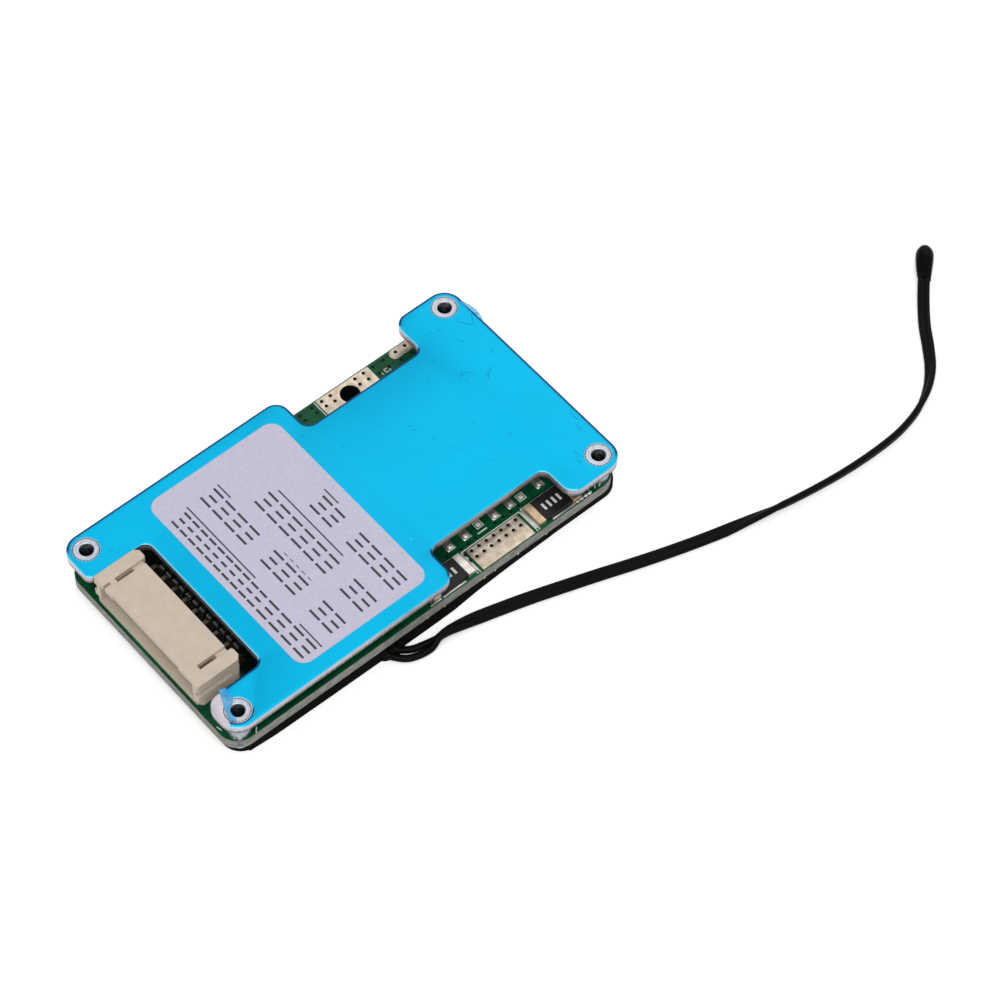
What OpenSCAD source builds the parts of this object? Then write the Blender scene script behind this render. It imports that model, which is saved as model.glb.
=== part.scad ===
// Battery management board: a circuit board under an aluminium heat plate on four threaded standoffs,
// with a nine-way side-entry cell socket, six power transistors, two current shunts and a
// temperature sensor on a twin lead. Lengths are in millimetres. The board rests on z = 0, the
// socket's mouth faces -X, and the origin is below the middle of the heat plate.

/* [Heat plate] */
// Length of the heat plate
plate_l = 60; // [58:1:80]
// Width of the heat plate
plate_w = 33.5; // [33:0.5:50]
// Thickness of the heat plate
plate_t = 1.3; // [0.8:0.1:3]
// Radius of the heat plate's four corners
plate_r = 2.4; // [1:0.1:2.6]
// Distance from the plate's edges to the centre of each standoff
hole_inset = 2.35; // [2:0.05:3]
// Length of the two edge windows over the solder pads
window_l = 18.1; // [14:0.1:20]
// Distance from the plate's right end to both edge windows
window_inset = 8.65; // [7:0.05:10]
// How far the front window cuts into the plate
front_window_d = 5.2; // [4:0.1:5.6]
// How far the back window cuts into the plate
back_window_d = 5.6; // [4:0.1:5.8]
// Radius of the inner corners of the plate's cut-outs
window_r = 1.3; // [0.5:0.1:2]
// Radius where a cut-out meets the plate's edge
window_lip_r = 1.8; // [0.5:0.1:2.2]
// Gap between the socket and the plate on the socket's back side
notch_gap_back = 0.2; // [0.1:0.05:0.5]
// Gap between the socket and the plate on the socket's front side
notch_gap_front = 1.9; // [0.3:0.1:2.2]
// Gap between the socket's pins and the plate
notch_gap_pins = 0.3; // [0.2:0.05:2]

/* [Film and label] */
// Thickness of the protective film
film_t = 0.06; // [0.04:0.01:0.15]
// Gap between the film and each standoff's head
film_gap = 0.07; // [0.02:0.01:0.3]
// Length of the label along the plate
label_l = 19.5; // [10:0.5:21]
// Width of the label across the plate
label_w = 29.6; // [15:0.1:30]
// Thickness of the label
label_t = 0.08; // [0.05:0.01:0.2]
// Radius of the label's corners
label_r = 1.7; // [0.5:0.1:3]
// Distance from the plate's left end to the label
label_inset = 11.5; // [10.6:0.1:12]

/* [Circuit board] */
// Gap between the board's ends and the plate's ends, seen from above
board_setback_l = 0.2; // [0:0.05:0.5]
// Gap between the board's sides and the plate's sides, seen from above
board_setback_w = 0.6; // [0.3:0.05:0.8]
// Thickness of the circuit board
board_t = 1.6; // [0.8:0.1:2.4]
// Radius of the board's corners
board_r = 2.6; // [1:0.1:3]
// Width of the small routed nick at one corner of the board
nick_w = 0.6; // [0.2:0.05:0.8]
// Thickness of the tinned solder pads
pad_t = 0.06; // [0.03:0.01:0.2]
// Length of the pads between the shunts and in the back window
pad_l = 8.1; // [5:0.1:9]
// Radius of the hole through the back pad
pad_hole_r = 1.3; // [0.6:0.1:1.5]

/* [Standoffs] */
// Free height between the board and the heat plate
gap_h = 2.95; // [2.8:0.05:6]
// Radius of the standoff's head, which is pressed into the plate
head_r = 1.6; // [1.5:0.05:1.8]
// Radius of the standoff's body
post_r = 1.4; // [1.2:0.05:1.5]
// Radius of the foot that passes through the board
foot_r = 1.1; // [1:0.05:1.15]
// Radius of the flared end under the board
flare_r = 1.5; // [1.3:0.05:1.8]
// Height of the flared end
flare_h = 0.35; // [0.2:0.05:0.5]
// Radius of the threaded hole, at the tops of its threads
thread_r = 0.8; // [0.6:0.05:0.9]
// Chamfer at both mouths of the threaded hole
thread_chamfer = 0.1; // [0.05:0.05:0.15]

/* [Cell socket] */
// Number of ways
ways = 9; // [4:1:9]
// Distance between neighbouring pins
pin_pitch = 2; // [1.8:0.05:2.05]
// Distance from the last pin to the socket's end
socket_end = 1.95; // [1.7:0.05:2]
// Height of the socket
socket_h = 4.6; // [4.4:0.1:6]
// Depth of the socket's roof
roof_d = 5.85; // [5:0.05:6]
// Depth of the socket's end blocks
block_d = 6.4; // [6.1:0.05:6.6]
// Width of each end block on the roof
block_w = 1.75; // [1.5:0.05:2]
// Width of the channel beside each end block
channel_w = 0.7; // [0.4:0.05:1]
// Depth of the channel in the roof
channel_d = 0.4; // [0.2:0.05:0.5]
// Thickness of the socket's floor and roof
socket_wall = 0.75; // [0.6:0.05:1]
// Thickness of the socket's end walls
socket_side = 1.15; // [0.9:0.05:1.4]
// Depth of the mouth
mouth_d = 4.6; // [3.6:0.1:4.8]
// Distance from the board's left end to the socket's mouth
socket_setback = 0.4; // [0.1:0.1:0.6]
// How far the socket sits behind the middle of the board
socket_offset = 0.67; // [0:0.01:0.7]
// Thickness of a pin
pin_t = 0.5; // [0.4:0.05:0.64]
// Height of the pins above the board
pin_h = 1.6; // [1.4:0.1:2]
// Distance from the socket's roof to the bent tail of a pin
tail_gap = 1.65; // [1.2:0.05:1.8]
// Radius of the holes for the pins' tails
tail_hole_r = 0.45; // [0.4:0.05:0.6]

/* [Power parts] */
// Length of a transistor's body along the board
fet_l = 6.6; // [6:0.1:6.8]
// Width of a transistor's body across the board
fet_w = 6.1; // [5.6:0.1:6.2]
// Height of a transistor's body
fet_h = 2.3; // [2:0.05:2.4]
// Distance between the middles of neighbouring transistors
fet_pitch = 7.05; // [6.9:0.05:7.2]
// How far a transistor's leads reach out of its body
lead_reach = 2.7; // [2.2:0.1:2.8]
// How far the metal tab reaches out of the body
tab_reach = 1.1; // [0.8:0.1:1.3]
// Gap between the two rows of transistors, tab to tab
row_gap = 2; // [1:0.1:2.4]
// Length of a current shunt
shunt_l = 6.4; // [6:0.1:6.6]
// Width of a current shunt
shunt_w = 3.25; // [2.6:0.05:3.4]
// Height of a current shunt
shunt_h = 0.62; // [0.4:0.02:0.7]
// Gap between the front pad and each shunt
shunt_gap = 1; // [0.6:0.1:1.4]
// Distance from the board's front edge to the shunts
shunt_margin = 0.45; // [0.2:0.05:0.7]

/* [Underside] */
// Thickness of the black insulating pad under the board
foam_t = 1.2; // [1.15:0.05:2]
// How far the pad is stuck to the right of the board
foam_shift = 0.4; // [0:0.05:0.6]
// Length of the control chip's body
chip_l = 6.5; // [5:0.1:7]
// Width of the control chip's body
chip_w = 4.4; // [3.9:0.1:4.6]
// Number of leads along each side of the control chip
chip_leads = 10; // [6:1:10]
// Number of cells that the board balances
cells = 7; // [3:1:7]
// Distance between neighbouring balancing channels
cell_pitch = 3.4; // [3.2:0.05:3.6]

/* [Sensor lead] */
// Width of the twin lead
twin_w = 1.5; // [1.2:0.1:1.8]
// Thickness of the twin lead and of each single lead
lead_d = 0.75; // [0.6:0.05:0.8]
// Radius of the sensor's coated head
bead_r = 1.05; // [0.9:0.05:1.3]
// Length of the sensor's coated head
bead_l = 5; // [4:0.1:7]

/* [Hidden] */

$fn = 48;
eps = 0.01;   // overlap inside one solid
over = 1;     // how far a cutter runs past the face that it opens

// The film's torn edge, from the plate's front left corner
tear = [[0.1, 0.9], [1, 2.25], [1.9, 3.35], [2, 3.95], [2.9, 5.6]];

// Levels, from the resting surface up
board_z = foam_t;
board_top = board_z + board_t;
plate_z = board_top + gap_h;
plate_top = plate_z + plate_t;
film_top = plate_top + film_t;

// Board outline and the standoffs' places
board_l = plate_l - 2 * board_setback_l;
board_w = plate_w - 2 * board_setback_w;
hole_x = plate_l / 2 - hole_inset;
hole_y = plate_w / 2 - hole_inset;
board_left = -board_l / 2;
board_front = -board_w / 2;
nick_turn = -122;        // direction of the nick from the middle of its corner's rounding

// Edge windows and what shows in them
window_x = plate_l / 2 - window_inset - window_l;
window_mid = window_x + window_l / 2;

// Socket: its own frame has x = 0 at the mouth and y = 0 at the middle pin
socket_w = (ways - 1) * pin_pitch + 2 * socket_end;
socket_x = board_left + socket_setback;
tail_x = socket_x + roof_d + tail_gap;
tail_depth = 0.85;                   // the tails' length below the board
block_side = socket_w / 2 - block_w; // from the middle to an end block's inner face

// Socket details
block_chamfer = 0.55;    // cut off an end block's rear corner
block_step = 0.15;       // the end block's inner rear corner stands back by this
roof_setback = 0.15;     // the roof's middle stands back by this
roof_shoulder = 1.95;    // from an end block's inner face to the part that stands back
key_inset = 0.45;        // from the back end block's inner face to the keying pocket
key_w = 0.42;
slot_x = 1.75;           // from the mouth to the slot through the roof
slot_l = 2.6;
groove_z = 2.15;         // the groove along each end face
groove_h = 1.15;
groove_d = 0.5;
groove_l = 4.9;
dent_l = 0.45;           // the dent at the groove's rear
dent_h = 0.6;
pin_tip = 1.2;           // from the mouth to a pin's tip
tail_bay = 0.9;          // the mouth's rear wall, in front of the open bay for the tails

// Notch in the plate's left end, round the socket
notch_d = tail_x + pin_t / 2 + notch_gap_pins + plate_l / 2;
notch_y0 = socket_offset - socket_w / 2 - notch_gap_front;
notch_y1 = socket_offset + socket_w / 2 + notch_gap_back;
notch_lip_front = 1.85;
notch_lip_back = 0.95;

// Transistors: each row's lead tips face the plate's long edge
fet_total = lead_reach + fet_w + tab_reach;
fet_tip = row_gap / 2 + fet_total;
fet_mid = window_mid - 0.35;
fet_foot_w = 0.76;
fet_foot_pitch = 2.286;
fet_metal_t = 0.5;
thermal_margin = 0.3;

// Pads on the board's top
pad_edge = 0.15;         // bare board between a pad and the board's edge
front_pad_w = 3.4;
back_pad_w = 3.6;
back_hole_margin = 2;    // from the board's back edge to the hole's middle
charge_pad_l = 4.6;
charge_pad_w = 1.5;
charge_pad_x = window_mid + 7.3;

// Shunts stand beside the front pad
shunt_end = 1.05;        // length of a shunt's metal end
shunt_body_inset = 0.04; // the dark body stands this far inside its metal ends
shunt_y = board_front + shunt_margin + shunt_w / 2;
shunt_x = pad_l / 2 + shunt_gap + shunt_l / 2;

// Row of small resistors behind the socket
filter_count = 12;
filter_pitch = 1.29;
filter_size = [1.6, 0.8, 0.45];
filter_x = tail_x + 0.75;
filter_y = socket_offset + 1;

// Underside layout, as seen from above
chip_x = -11;
chip_y = -6;
chip_h = 1;
chip_lead_pitch = 0.65;
chip_lead_w = 0.25;
chip_lead_reach = 1;
balance_x = -6.8;
balance_fet_y = 9.6;
balance_res_y = 5;
balance_cap_y = 2;
sot_size = [2.9, 1.3, 1];
res_size = [3.2, 1.6, 0.55];
cap_size = [1.6, 0.8, 0.8];
window_margin = 0.9;     // from underside parts to the insulating pad round them
pin_solder_r = 0.75;
pin_solder_h = 0.6;
solder_r = 0.6;
solder_h = 0.95;
joint_x = [-6.2, -7.5];
joint_y = board_front + 3.15;
exit_w = 2.5;            // width of the pad's gap where the sensor's leads pass
relief = 0.35;           // from pins, solder and the pad's hole to the insulating pad
flare_gap = 0.1;         // from a standoff's flared end to its pocket in the insulating pad

// The sensor's leads: each leaves its solder joint, they part to form an eye, and run on as a twin
lead_start = joint_y - 0.55;
lead_a_path = [
    [-6.2, lead_start, 0.6], [-6.2, -15, 0.6], [-6.1, -16.3, 0.55], [-5.6, -17.1, 0.45],
    [-4.5, -17.9, 0.4], [-3.2, -18.3, 0.4], [-1.3, -18.9 + lead_d / 2, 0.4]
];
lead_b_path = [
    [-7.5, lead_start, 0.6], [-7.5, -15, 0.6], [-7.3, -16.4, 0.55], [-6.8, -17.4, 0.45],
    [-5.8, -18.5, 0.4], [-4.4, -19.1, 0.4], [-2.8, -19.3, 0.4], [-1.3, -18.9 - lead_d / 2, 0.4]
];
cord_path = [
    [-1.3, -18.9, 0.4], [0.6, -18.9, 0.4], [4, -19.5, 0.4], [8, -20.6, 0.4], [11, -21.5, 0.4],
    [14, -22.5, 0.4], [19, -24.2, 0.4], [23.5, -25.8, 0.4], [28, -27.3, 0.4], [33, -28.8, 0.4],
    [38, -30.1, 0.4], [43, -31.3, 0.4], [48.5, -32.2, 0.4], [53.5, -32.7, 0.4], [58.5, -32.8, 0.4],
    [62, -32.5, 0.4], [65.5, -31.6, 0.4], [68.6, -30, 0.4], [71, -28, 0.4], [73, -25.6, 0.4],
    [75, -22.9, 0.4], [77, -20.6, 0.55], [78.6, -18.9, 0.8], [79.8, -17.7, 0.95]
];

cord_end = cord_path[len(cord_path) - 1];
cord_heading = unit([cord_end.x - cord_path[len(cord_path) - 2].x, cord_end.y - cord_path[len(cord_path) - 2].y, 0]);

// ---- outlines and helpers ----

module rounded_rect(l, w, r) {
    square([l - 2 * r, w], center = true);
    square([l, w - 2 * r], center = true);
    for (x = [-1, 1], y = [-1, 1]) translate([x * (l / 2 - r), y * (w / 2 - r)]) circle(r);
}

// The waste beside a cut-out's mouth that leaves the plate's edge rounded
module lip(r) {
    difference() {
        translate([-r, -over]) square([r + eps, r + over]);
        translate([-r, r]) circle(r);
    }
}

// A cut-out open at y = 0 that runs from x = 0 to l and in to y = d
module edge_window(l, d, r, lip_left, lip_right) {
    translate([0, -over]) square([l, d - r + over]);
    translate([r, 0]) square([l - 2 * r, d]);
    for (x = [r, l - r]) translate([x, d - r]) circle(r);
    lip(lip_left);
    translate([l, 0]) mirror([1, 0]) lip(lip_right);
}

module at_standoffs() {
    for (x = [-1, 1], y = [-1, 1]) translate([x * hole_x, y * hole_y]) children();
}

// The plate's outline with its windows, its notch and holes of the given radius
module plate_outline(hole) {
    difference() {
        rounded_rect(plate_l, plate_w, plate_r);
        translate([window_x, -plate_w / 2])
            edge_window(window_l, front_window_d, window_r, window_lip_r, window_lip_r);
        translate([window_x, plate_w / 2]) mirror([0, 1])
            edge_window(window_l, back_window_d, window_r, window_lip_r, window_lip_r);
        translate([-plate_l / 2, notch_y1]) rotate(-90)
            edge_window(notch_y1 - notch_y0, notch_d, window_r, notch_lip_back, notch_lip_front);
        at_standoffs() circle(hole);
    }
}

module board_outline() {
    rounded_rect(board_l, board_w, board_r);
}

function unit(v) = v / norm(v);

// Direction of a path at point i
function along(p, i) = unit(p[min(i + 1, len(p) - 1)] - p[max(i - 1, 0)]);

// One eight-sided ring round a path's point: w wide across the path and h high. The end rings
// stand square to start and finish, so that they meet the faces of what the tube joins.
function ring(p, i, w, h, start, finish) =
    let (t = i == 0 ? start : i == len(p) - 1 ? finish : along(p, i),
         side = unit(cross(t, [0, 0, 1])), up = cross(side, t))
    [for (k = [0:7]) p[i] + side * cos(45 * k + 22.5) * w / 2 / cos(22.5)
                          + up * sin(45 * k + 22.5) * h / 2 / cos(22.5)];

// A closed eight-sided tube along a path
module tube(p, w, h, start, finish) {
    n = len(p);
    points = [for (i = [0:n - 1]) each ring(p, i, w, h, start, finish)];
    walls = [for (i = [0:n - 2], k = [0:7]) each [
        [i * 8 + k, i * 8 + (k + 1) % 8, (i + 1) * 8 + (k + 1) % 8],
        [i * 8 + k, (i + 1) * 8 + (k + 1) % 8, (i + 1) * 8 + k]]];
    polyhedron(points, concat([[for (k = [0:7]) 7 - k]], [[for (k = [0:7]) (n - 1) * 8 + k]], walls));
}

// ---- heat plate, film and label ----

module heat_plate() {
    color("silver") translate([0, 0, plate_z]) linear_extrude(plate_t) plate_outline(head_r);
}

// The film covers the plate, and is torn off the front left corner beside the socket
module protective_film() {
    corner = [-plate_l / 2, -plate_w / 2];
    torn_y = notch_y0 + over;
    color("deepskyblue") translate([0, 0, plate_top]) linear_extrude(film_t) difference() {
        plate_outline(head_r + film_gap);
        polygon([
            corner - [over, 0], for (t = tear) corner + t,
            [corner.x + tear[len(tear) - 1].x, torn_y], [corner.x - over, torn_y]
        ]);
    }
}

module label() {
    color("lavender") translate([-plate_l / 2 + label_inset + label_l / 2, 0, film_top])
        linear_extrude(label_t) rounded_rect(label_l, label_w, label_r);
}

// ---- standoffs ----

// A turned standoff: knurled head in the plate, body in the gap, foot through the board
module standoff(x, y) {
    color("gainsboro") translate([x * hole_x, y * hole_y, 0]) rotate_extrude() polygon([
        [thread_r + thread_chamfer, board_z - flare_h], [flare_r, board_z - flare_h],
        [flare_r, board_z], [foot_r, board_z], [foot_r, board_top], [post_r, board_top],
        [post_r, plate_z], [head_r, plate_z], [head_r, plate_top],
        [thread_r + thread_chamfer, plate_top], [thread_r, plate_top - thread_chamfer],
        [thread_r, board_z - flare_h + thread_chamfer]
    ]);
}

// ---- circuit board and its pads ----

module tail_places() {
    for (i = [0:ways - 1])
        translate([tail_x, socket_offset + (i - (ways - 1) / 2) * pin_pitch]) children();
}

module pad_hole_place() {
    translate([window_mid, -board_front - back_hole_margin]) children();
}

module circuit_board() {
    color("darkgreen") translate([0, 0, board_z]) linear_extrude(board_t) difference() {
        board_outline();
        at_standoffs() circle(foot_r);
        tail_places() circle(tail_hole_r);
        pad_hole_place() circle(pad_hole_r);
        translate([board_left + board_r, board_front + board_r]) rotate(nick_turn)
            translate([board_r, 0]) square(nick_w, center = true);
    }
}

module pad_on_board(x, y, l, w) {
    color("tan") translate([x, y, board_top]) linear_extrude(pad_t) square([l, w], center = true);
}

module front_pad() {
    pad_on_board(window_mid, board_front + pad_edge + front_pad_w / 2, pad_l, front_pad_w);
}

module back_pad() {
    difference() {
        pad_on_board(window_mid, -board_front - pad_edge - back_pad_w / 2, pad_l, back_pad_w);
        pad_hole_place() translate([0, 0, board_top - over]) cylinder(r = pad_hole_r, h = 2 * over);
    }
}

// The charge pad has a round left end
module charge_pad() {
    color("tan") translate([charge_pad_x, -board_front - pad_edge - charge_pad_w / 2, board_top])
        linear_extrude(pad_t) {
            translate([charge_pad_w / 2, -charge_pad_w / 2])
                square([charge_pad_l - charge_pad_w / 2, charge_pad_w]);
            translate([charge_pad_w / 2, 0]) circle(charge_pad_w / 2);
        }
}

// ---- cell socket ----

module in_socket() {
    translate([socket_x, socket_offset, board_top]) children();
}

// The end blocks' outline from above: the rear corners are chamfered
module block_outline() {
    outer = socket_w / 2;
    polygon([
        [0, block_side], [block_d - block_step, block_side], [block_d, block_side + 2 * block_step],
        [block_d, outer - block_chamfer], [block_d - block_chamfer, outer], [0, outer]
    ]);
}

module both_ends() {
    children();
    mirror([0, 1, 0]) children();
}

// The slot through the roof beside an end block, and the channel from it to the rear
module roof_channel() {
    translate([slot_x, block_side - channel_w, socket_h - channel_d])
        cube([block_d, channel_w, channel_d + over]);
    translate([slot_x, block_side - channel_w, socket_h - socket_wall - over])
        cube([slot_l, channel_w, socket_wall + 2 * over]);
}

// The groove along a socket's end face, open at the front
module side_groove() {
    translate([-over, socket_w / 2 - groove_d, groove_z]) cube([over + groove_l, groove_d + over, groove_h]);
    translate([block_d - dent_l, socket_w / 2 - 2 * dent_l, groove_z + (groove_h - dent_h) / 2])
        cube([over, over + 2 * dent_l, dent_h]);
}

module socket_housing() {
    mouth_h = socket_h - 2 * socket_wall;
    base_cut_h = 1.05;
    roof_y = block_side - roof_shoulder;
    color("antiquewhite") in_socket() difference() {
        union() {
            translate([0, -block_side - eps, 0]) cube([roof_d, 2 * (block_side + eps), socket_h]);
            both_ends() linear_extrude(socket_h) block_outline();
        }
        // mouth
        translate([-over, -socket_w / 2 + socket_side, socket_wall])
            cube([mouth_d + over, socket_w - 2 * socket_side, mouth_h]);
        // the roof's middle stands back a little
        translate([-over, -roof_y, socket_h - socket_wall - over])
            cube([over + roof_setback, 2 * roof_y, socket_wall + 2 * over]);
        // keying pocket at the back end only
        translate([-over, block_side - key_inset, socket_h - socket_wall - over])
            cube([over + 1, key_w, socket_wall + 2 * over]);
        both_ends() roof_channel();
        both_ends() side_groove();
        // the base's front corners are cut at an angle
        both_ends() translate([0, socket_w / 2, 0]) rotate(45)
            cube([0.9, 0.9, 2 * base_cut_h], center = true);
        // open gaps under the rear for the pins' tails
        translate([mouth_d + tail_bay, -block_side + channel_w, -over])
            cube([block_d, 2 * (block_side - channel_w), over + pin_h - pin_t]);
        // holes for the pins
        for (i = [0:ways - 1])
            translate([mouth_d - over, (i - (ways - 1) / 2) * pin_pitch - pin_t / 2, pin_h - pin_t / 2])
                cube([roof_d, pin_t, pin_t]);
    }
}

// A bent pin's side view: tapered tip in the mouth, tail through the board
module pin_profile() {
    taper = 0.15;
    taper_l = 0.5;
    bend = 0.35;
    bottom = pin_h - pin_t / 2;
    top = pin_h + pin_t / 2;
    end_x = roof_d + tail_gap + pin_t / 2;
    low = -board_t - tail_depth;
    polygon([
        [pin_tip, bottom + taper], [pin_tip + taper_l, bottom], [end_x - pin_t, bottom],
        [end_x - pin_t, low + taper], [end_x - pin_t + taper, low], [end_x - taper, low],
        [end_x, low + taper], [end_x, top - bend], [end_x - bend, top],
        [pin_tip + taper_l, top], [pin_tip, top - taper]
    ]);
}

module socket_pins() {
    color("lightgray") in_socket() for (i = [0:ways - 1])
        translate([0, (i - (ways - 1) / 2) * pin_pitch + pin_t / 2, 0])
            rotate([90, 0, 0]) linear_extrude(pin_t) pin_profile();
}

// Solder cones round the pins' tails, under the board
module pin_solder() {
    color("silver") difference() {
        tail_places() translate([0, 0, board_z - pin_solder_h])
            cylinder(r1 = pin_solder_r / 2, r2 = pin_solder_r, h = pin_solder_h);
        tail_places() cube([pin_t, pin_t, 2 * (board_z + over)], center = true);
    }
}

// ---- power parts ----

// A transistor with its lead tips at y = 0 and its tab at the far end
module transistor_body() {
    draft = 0.2;
    stand = 0.15;
    body_y = lead_reach;
    foot = 1;
    lead_z = 0.8;
    // moulded body
    translate([-fet_l / 2, 0, 0]) rotate([90, 0, 90]) linear_extrude(fet_l) polygon([
        [body_y + draft / 2, stand], [body_y, lead_z + fet_metal_t], [body_y + draft, fet_h],
        [body_y + fet_w - draft, fet_h], [body_y + fet_w, lead_z], [body_y + fet_w, stand]
    ]);
    // tab, with its two corners cut
    linear_extrude(fet_metal_t) polygon([
        [-2.65, body_y + 2], [2.65, body_y + 2], [2.65, fet_total - 0.5], [2.15, fet_total],
        [-2.15, fet_total], [-2.65, fet_total - 0.5]
    ]);
    // two bent leads and the short stub between them
    for (x = [-fet_foot_pitch, fet_foot_pitch])
        translate([x - fet_foot_w / 2, 0, 0]) rotate([90, 0, 90]) linear_extrude(fet_foot_w) polygon([
            [0, 0], [foot - 0.1, 0], [foot + 0.7, lead_z], [body_y + 0.5, lead_z],
            [body_y + 0.5, lead_z + fet_metal_t], [foot + 0.4, lead_z + fet_metal_t],
            [foot - 0.4, fet_metal_t], [0, fet_metal_t]
        ]);
    translate([-fet_foot_w / 2, body_y - 0.8, lead_z]) cube([fet_foot_w, 1.3, fet_metal_t]);
}

module transistor(i, side) {
    color("dimgray") translate([fet_mid + (i - 2) * fet_pitch, side * fet_tip, board_top])
        rotate(side > 0 ? 180 : 0) transistor_body();
}

module thermal_pad() {
    reach = 2 * fet_pitch + fet_l - 2 * thermal_margin;
    width = row_gap + 2 * tab_reach + 2 * fet_w - 2 * thermal_margin;
    color("lightsteelblue") translate([fet_mid - reach / 2, -width / 2, board_top + fet_h])
        cube([reach, width, gap_h - fet_h]);
}

module shunt(side) {
    color("black") translate([window_mid + side * shunt_x, shunt_y, board_top]) {
        translate([-shunt_l / 2 + shunt_body_inset, -shunt_w / 2 + shunt_body_inset, 0])
            cube([shunt_l - 2 * shunt_body_inset, shunt_w - 2 * shunt_body_inset, shunt_h - shunt_body_inset]);
        for (x = [-shunt_l / 2, shunt_l / 2 - shunt_end])
            translate([x, -shunt_w / 2, 0]) cube([shunt_end, shunt_w, shunt_h]);
    }
}

// A chip part of the given size that stands on z = 0, with proud metal ends
module chip_part(size) {
    end = size.x * 0.2;
    proud = size.z * 0.06;
    translate([-size.x / 2 + end / 2, -size.y / 2 + proud, 0])
        cube([size.x - end, size.y - 2 * proud, size.z - proud]);
    for (x = [-size.x / 2, size.x / 2 - end]) translate([x, -size.y / 2, 0]) cube([end, size.y, size.z]);
}

module filter_resistors() {
    color("dimgray") for (i = [0:filter_count - 1])
        translate([filter_x + filter_size.x / 2, filter_y + (i - (filter_count - 1) / 2) * filter_pitch, board_top])
            chip_part(filter_size);
}

// ---- underside ----

module cell_places() {
    for (i = [0:cells - 1]) translate([balance_x + (i - (cells - 1) / 2) * cell_pitch, 0]) children();
}

// A gull-wing lead's side view: it leaves the body at height h and stands on z = 0
module gull_lead(reach, h, t, w) {
    translate([-w / 2, 0, 0]) rotate([90, 0, 90]) linear_extrude(w) polygon([
        [0, h], [0, h + t], [reach * 0.45 + t, h + t], [reach * 0.65 + t, t], [reach, t], [reach, 0],
        [reach * 0.65, 0], [reach * 0.45, h]
    ]);
}

module under(x, y) {
    translate([x, y, board_z]) mirror([0, 0, 1]) children();
}

module control_chip() {
    lead_t = 0.15;
    stand = 0.1;
    color("black") under(chip_x, chip_y) {
        translate([-chip_l / 2, -chip_w / 2, stand]) cube([chip_l, chip_w, chip_h - stand]);
        for (i = [0:chip_leads - 1], turn = [0, 180]) rotate(turn)
            translate([(i - (chip_leads - 1) / 2) * chip_lead_pitch, chip_w / 2 - eps, 0])
                gull_lead(chip_lead_reach, chip_h / 2 - lead_t / 2, lead_t, chip_lead_w);
    }
}

module small_transistor() {
    lead_t = 0.15;
    stand = 0.08;
    translate([-sot_size.x / 2, -sot_size.y / 2, stand]) cube([sot_size.x, sot_size.y, sot_size.z - stand]);
    for (x = [-0.95, 0.95]) translate([x, sot_size.y / 2 - eps, 0])
        gull_lead(0.55, sot_size.z / 2 - lead_t / 2, lead_t, 0.4);
    rotate(180) translate([0, sot_size.y / 2 - eps, 0])
        gull_lead(0.55, sot_size.z / 2 - lead_t / 2, lead_t, 0.4);
}

module balance_transistors() {
    color("black") cell_places() under(0, balance_fet_y) small_transistor();
}

module balance_resistors() {
    color("dimgray") cell_places() under(0, balance_res_y) rotate(90) chip_part(res_size);
}

module cell_capacitors() {
    color("burlywood") cell_places() under(0, balance_cap_y) chip_part(cap_size);
}

// The black foam pad's outline, with windows for the parts, the pins and the pad hole
module foam_outline() {
    cells_l = (cells - 1) * cell_pitch + sot_size.x;
    cells_y0 = balance_cap_y - cap_size.y / 2;
    cells_y1 = balance_fet_y + sot_size.y / 2 + 0.55;
    chip_reach = chip_w / 2 + chip_lead_reach;
    exit_x = (joint_x[0] + joint_x[1]) / 2;
    difference() {
        translate([foam_shift, 0]) board_outline();
        translate([tail_x, socket_offset])
            square([2 * (pin_solder_r + relief), (ways - 1) * pin_pitch + 2 * (pin_solder_r + relief)], center = true);
        pad_hole_place() circle(pad_hole_r + relief);
        translate([balance_x - cells_l / 2 - window_margin, cells_y0 - window_margin])
            square([cells_l + 2 * window_margin, cells_y1 - cells_y0 + 2 * window_margin]);
        translate([chip_x, chip_y])
            square([chip_l + 2 * window_margin, 2 * (chip_reach + window_margin)], center = true);
        translate([exit_x, joint_y])
            square([joint_x[0] - joint_x[1] + 2 * (solder_r + relief), 2 * (solder_r + relief)], center = true);
        translate([exit_x - exit_w / 2, board_front - over]) square([exit_w, joint_y - board_front + over]);
    }
}

// The standoffs' flared ends stand in pockets in the foam pad's top
module insulating_pad() {
    color("black") difference() {
        linear_extrude(foam_t) foam_outline();
        at_standoffs() translate([0, 0, board_z - flare_h]) cylinder(r = flare_r + flare_gap, h = flare_h + over);
    }
}

// ---- sensor ----

// Two drops of solder under the board, each cut flat where its lead comes in
module lead_solder() {
    color("silver") for (x = joint_x) difference() {
        translate([x, joint_y, board_z - solder_h]) cylinder(r1 = solder_r * 0.75, r2 = solder_r, h = solder_h);
        translate([x - over, lead_start - 2 * over, 0]) cube([2 * over, 2 * over, board_z]);
    }
}

module sensor_lead_a() {
    color("black") tube(lead_a_path, lead_d, lead_d, [0, -1, 0], [1, 0, 0]);
}

module sensor_lead_b() {
    color("black") tube(lead_b_path, lead_d, lead_d, [0, -1, 0], [1, 0, 0]);
}

module sensor_cord() {
    color("black") tube(cord_path, twin_w, lead_d, [1, 0, 0], cord_heading);
}

// The coated head lies on the resting surface at the end of the twin lead
module sensor_bead() {
    neck_r = 0.8;
    neck_l = 1.2;
    color("black") translate([cord_end.x, cord_end.y, bead_r])
        rotate([0, 0, atan2(cord_heading.y, cord_heading.x)]) rotate([0, 90, 0]) {
            cylinder(r1 = neck_r, r2 = bead_r, h = neck_l);
            translate([0, 0, neck_l - eps]) cylinder(r = bead_r, h = bead_l - bead_r - neck_l + eps);
            translate([0, 0, bead_l - bead_r]) sphere(bead_r);
        }
}

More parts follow.
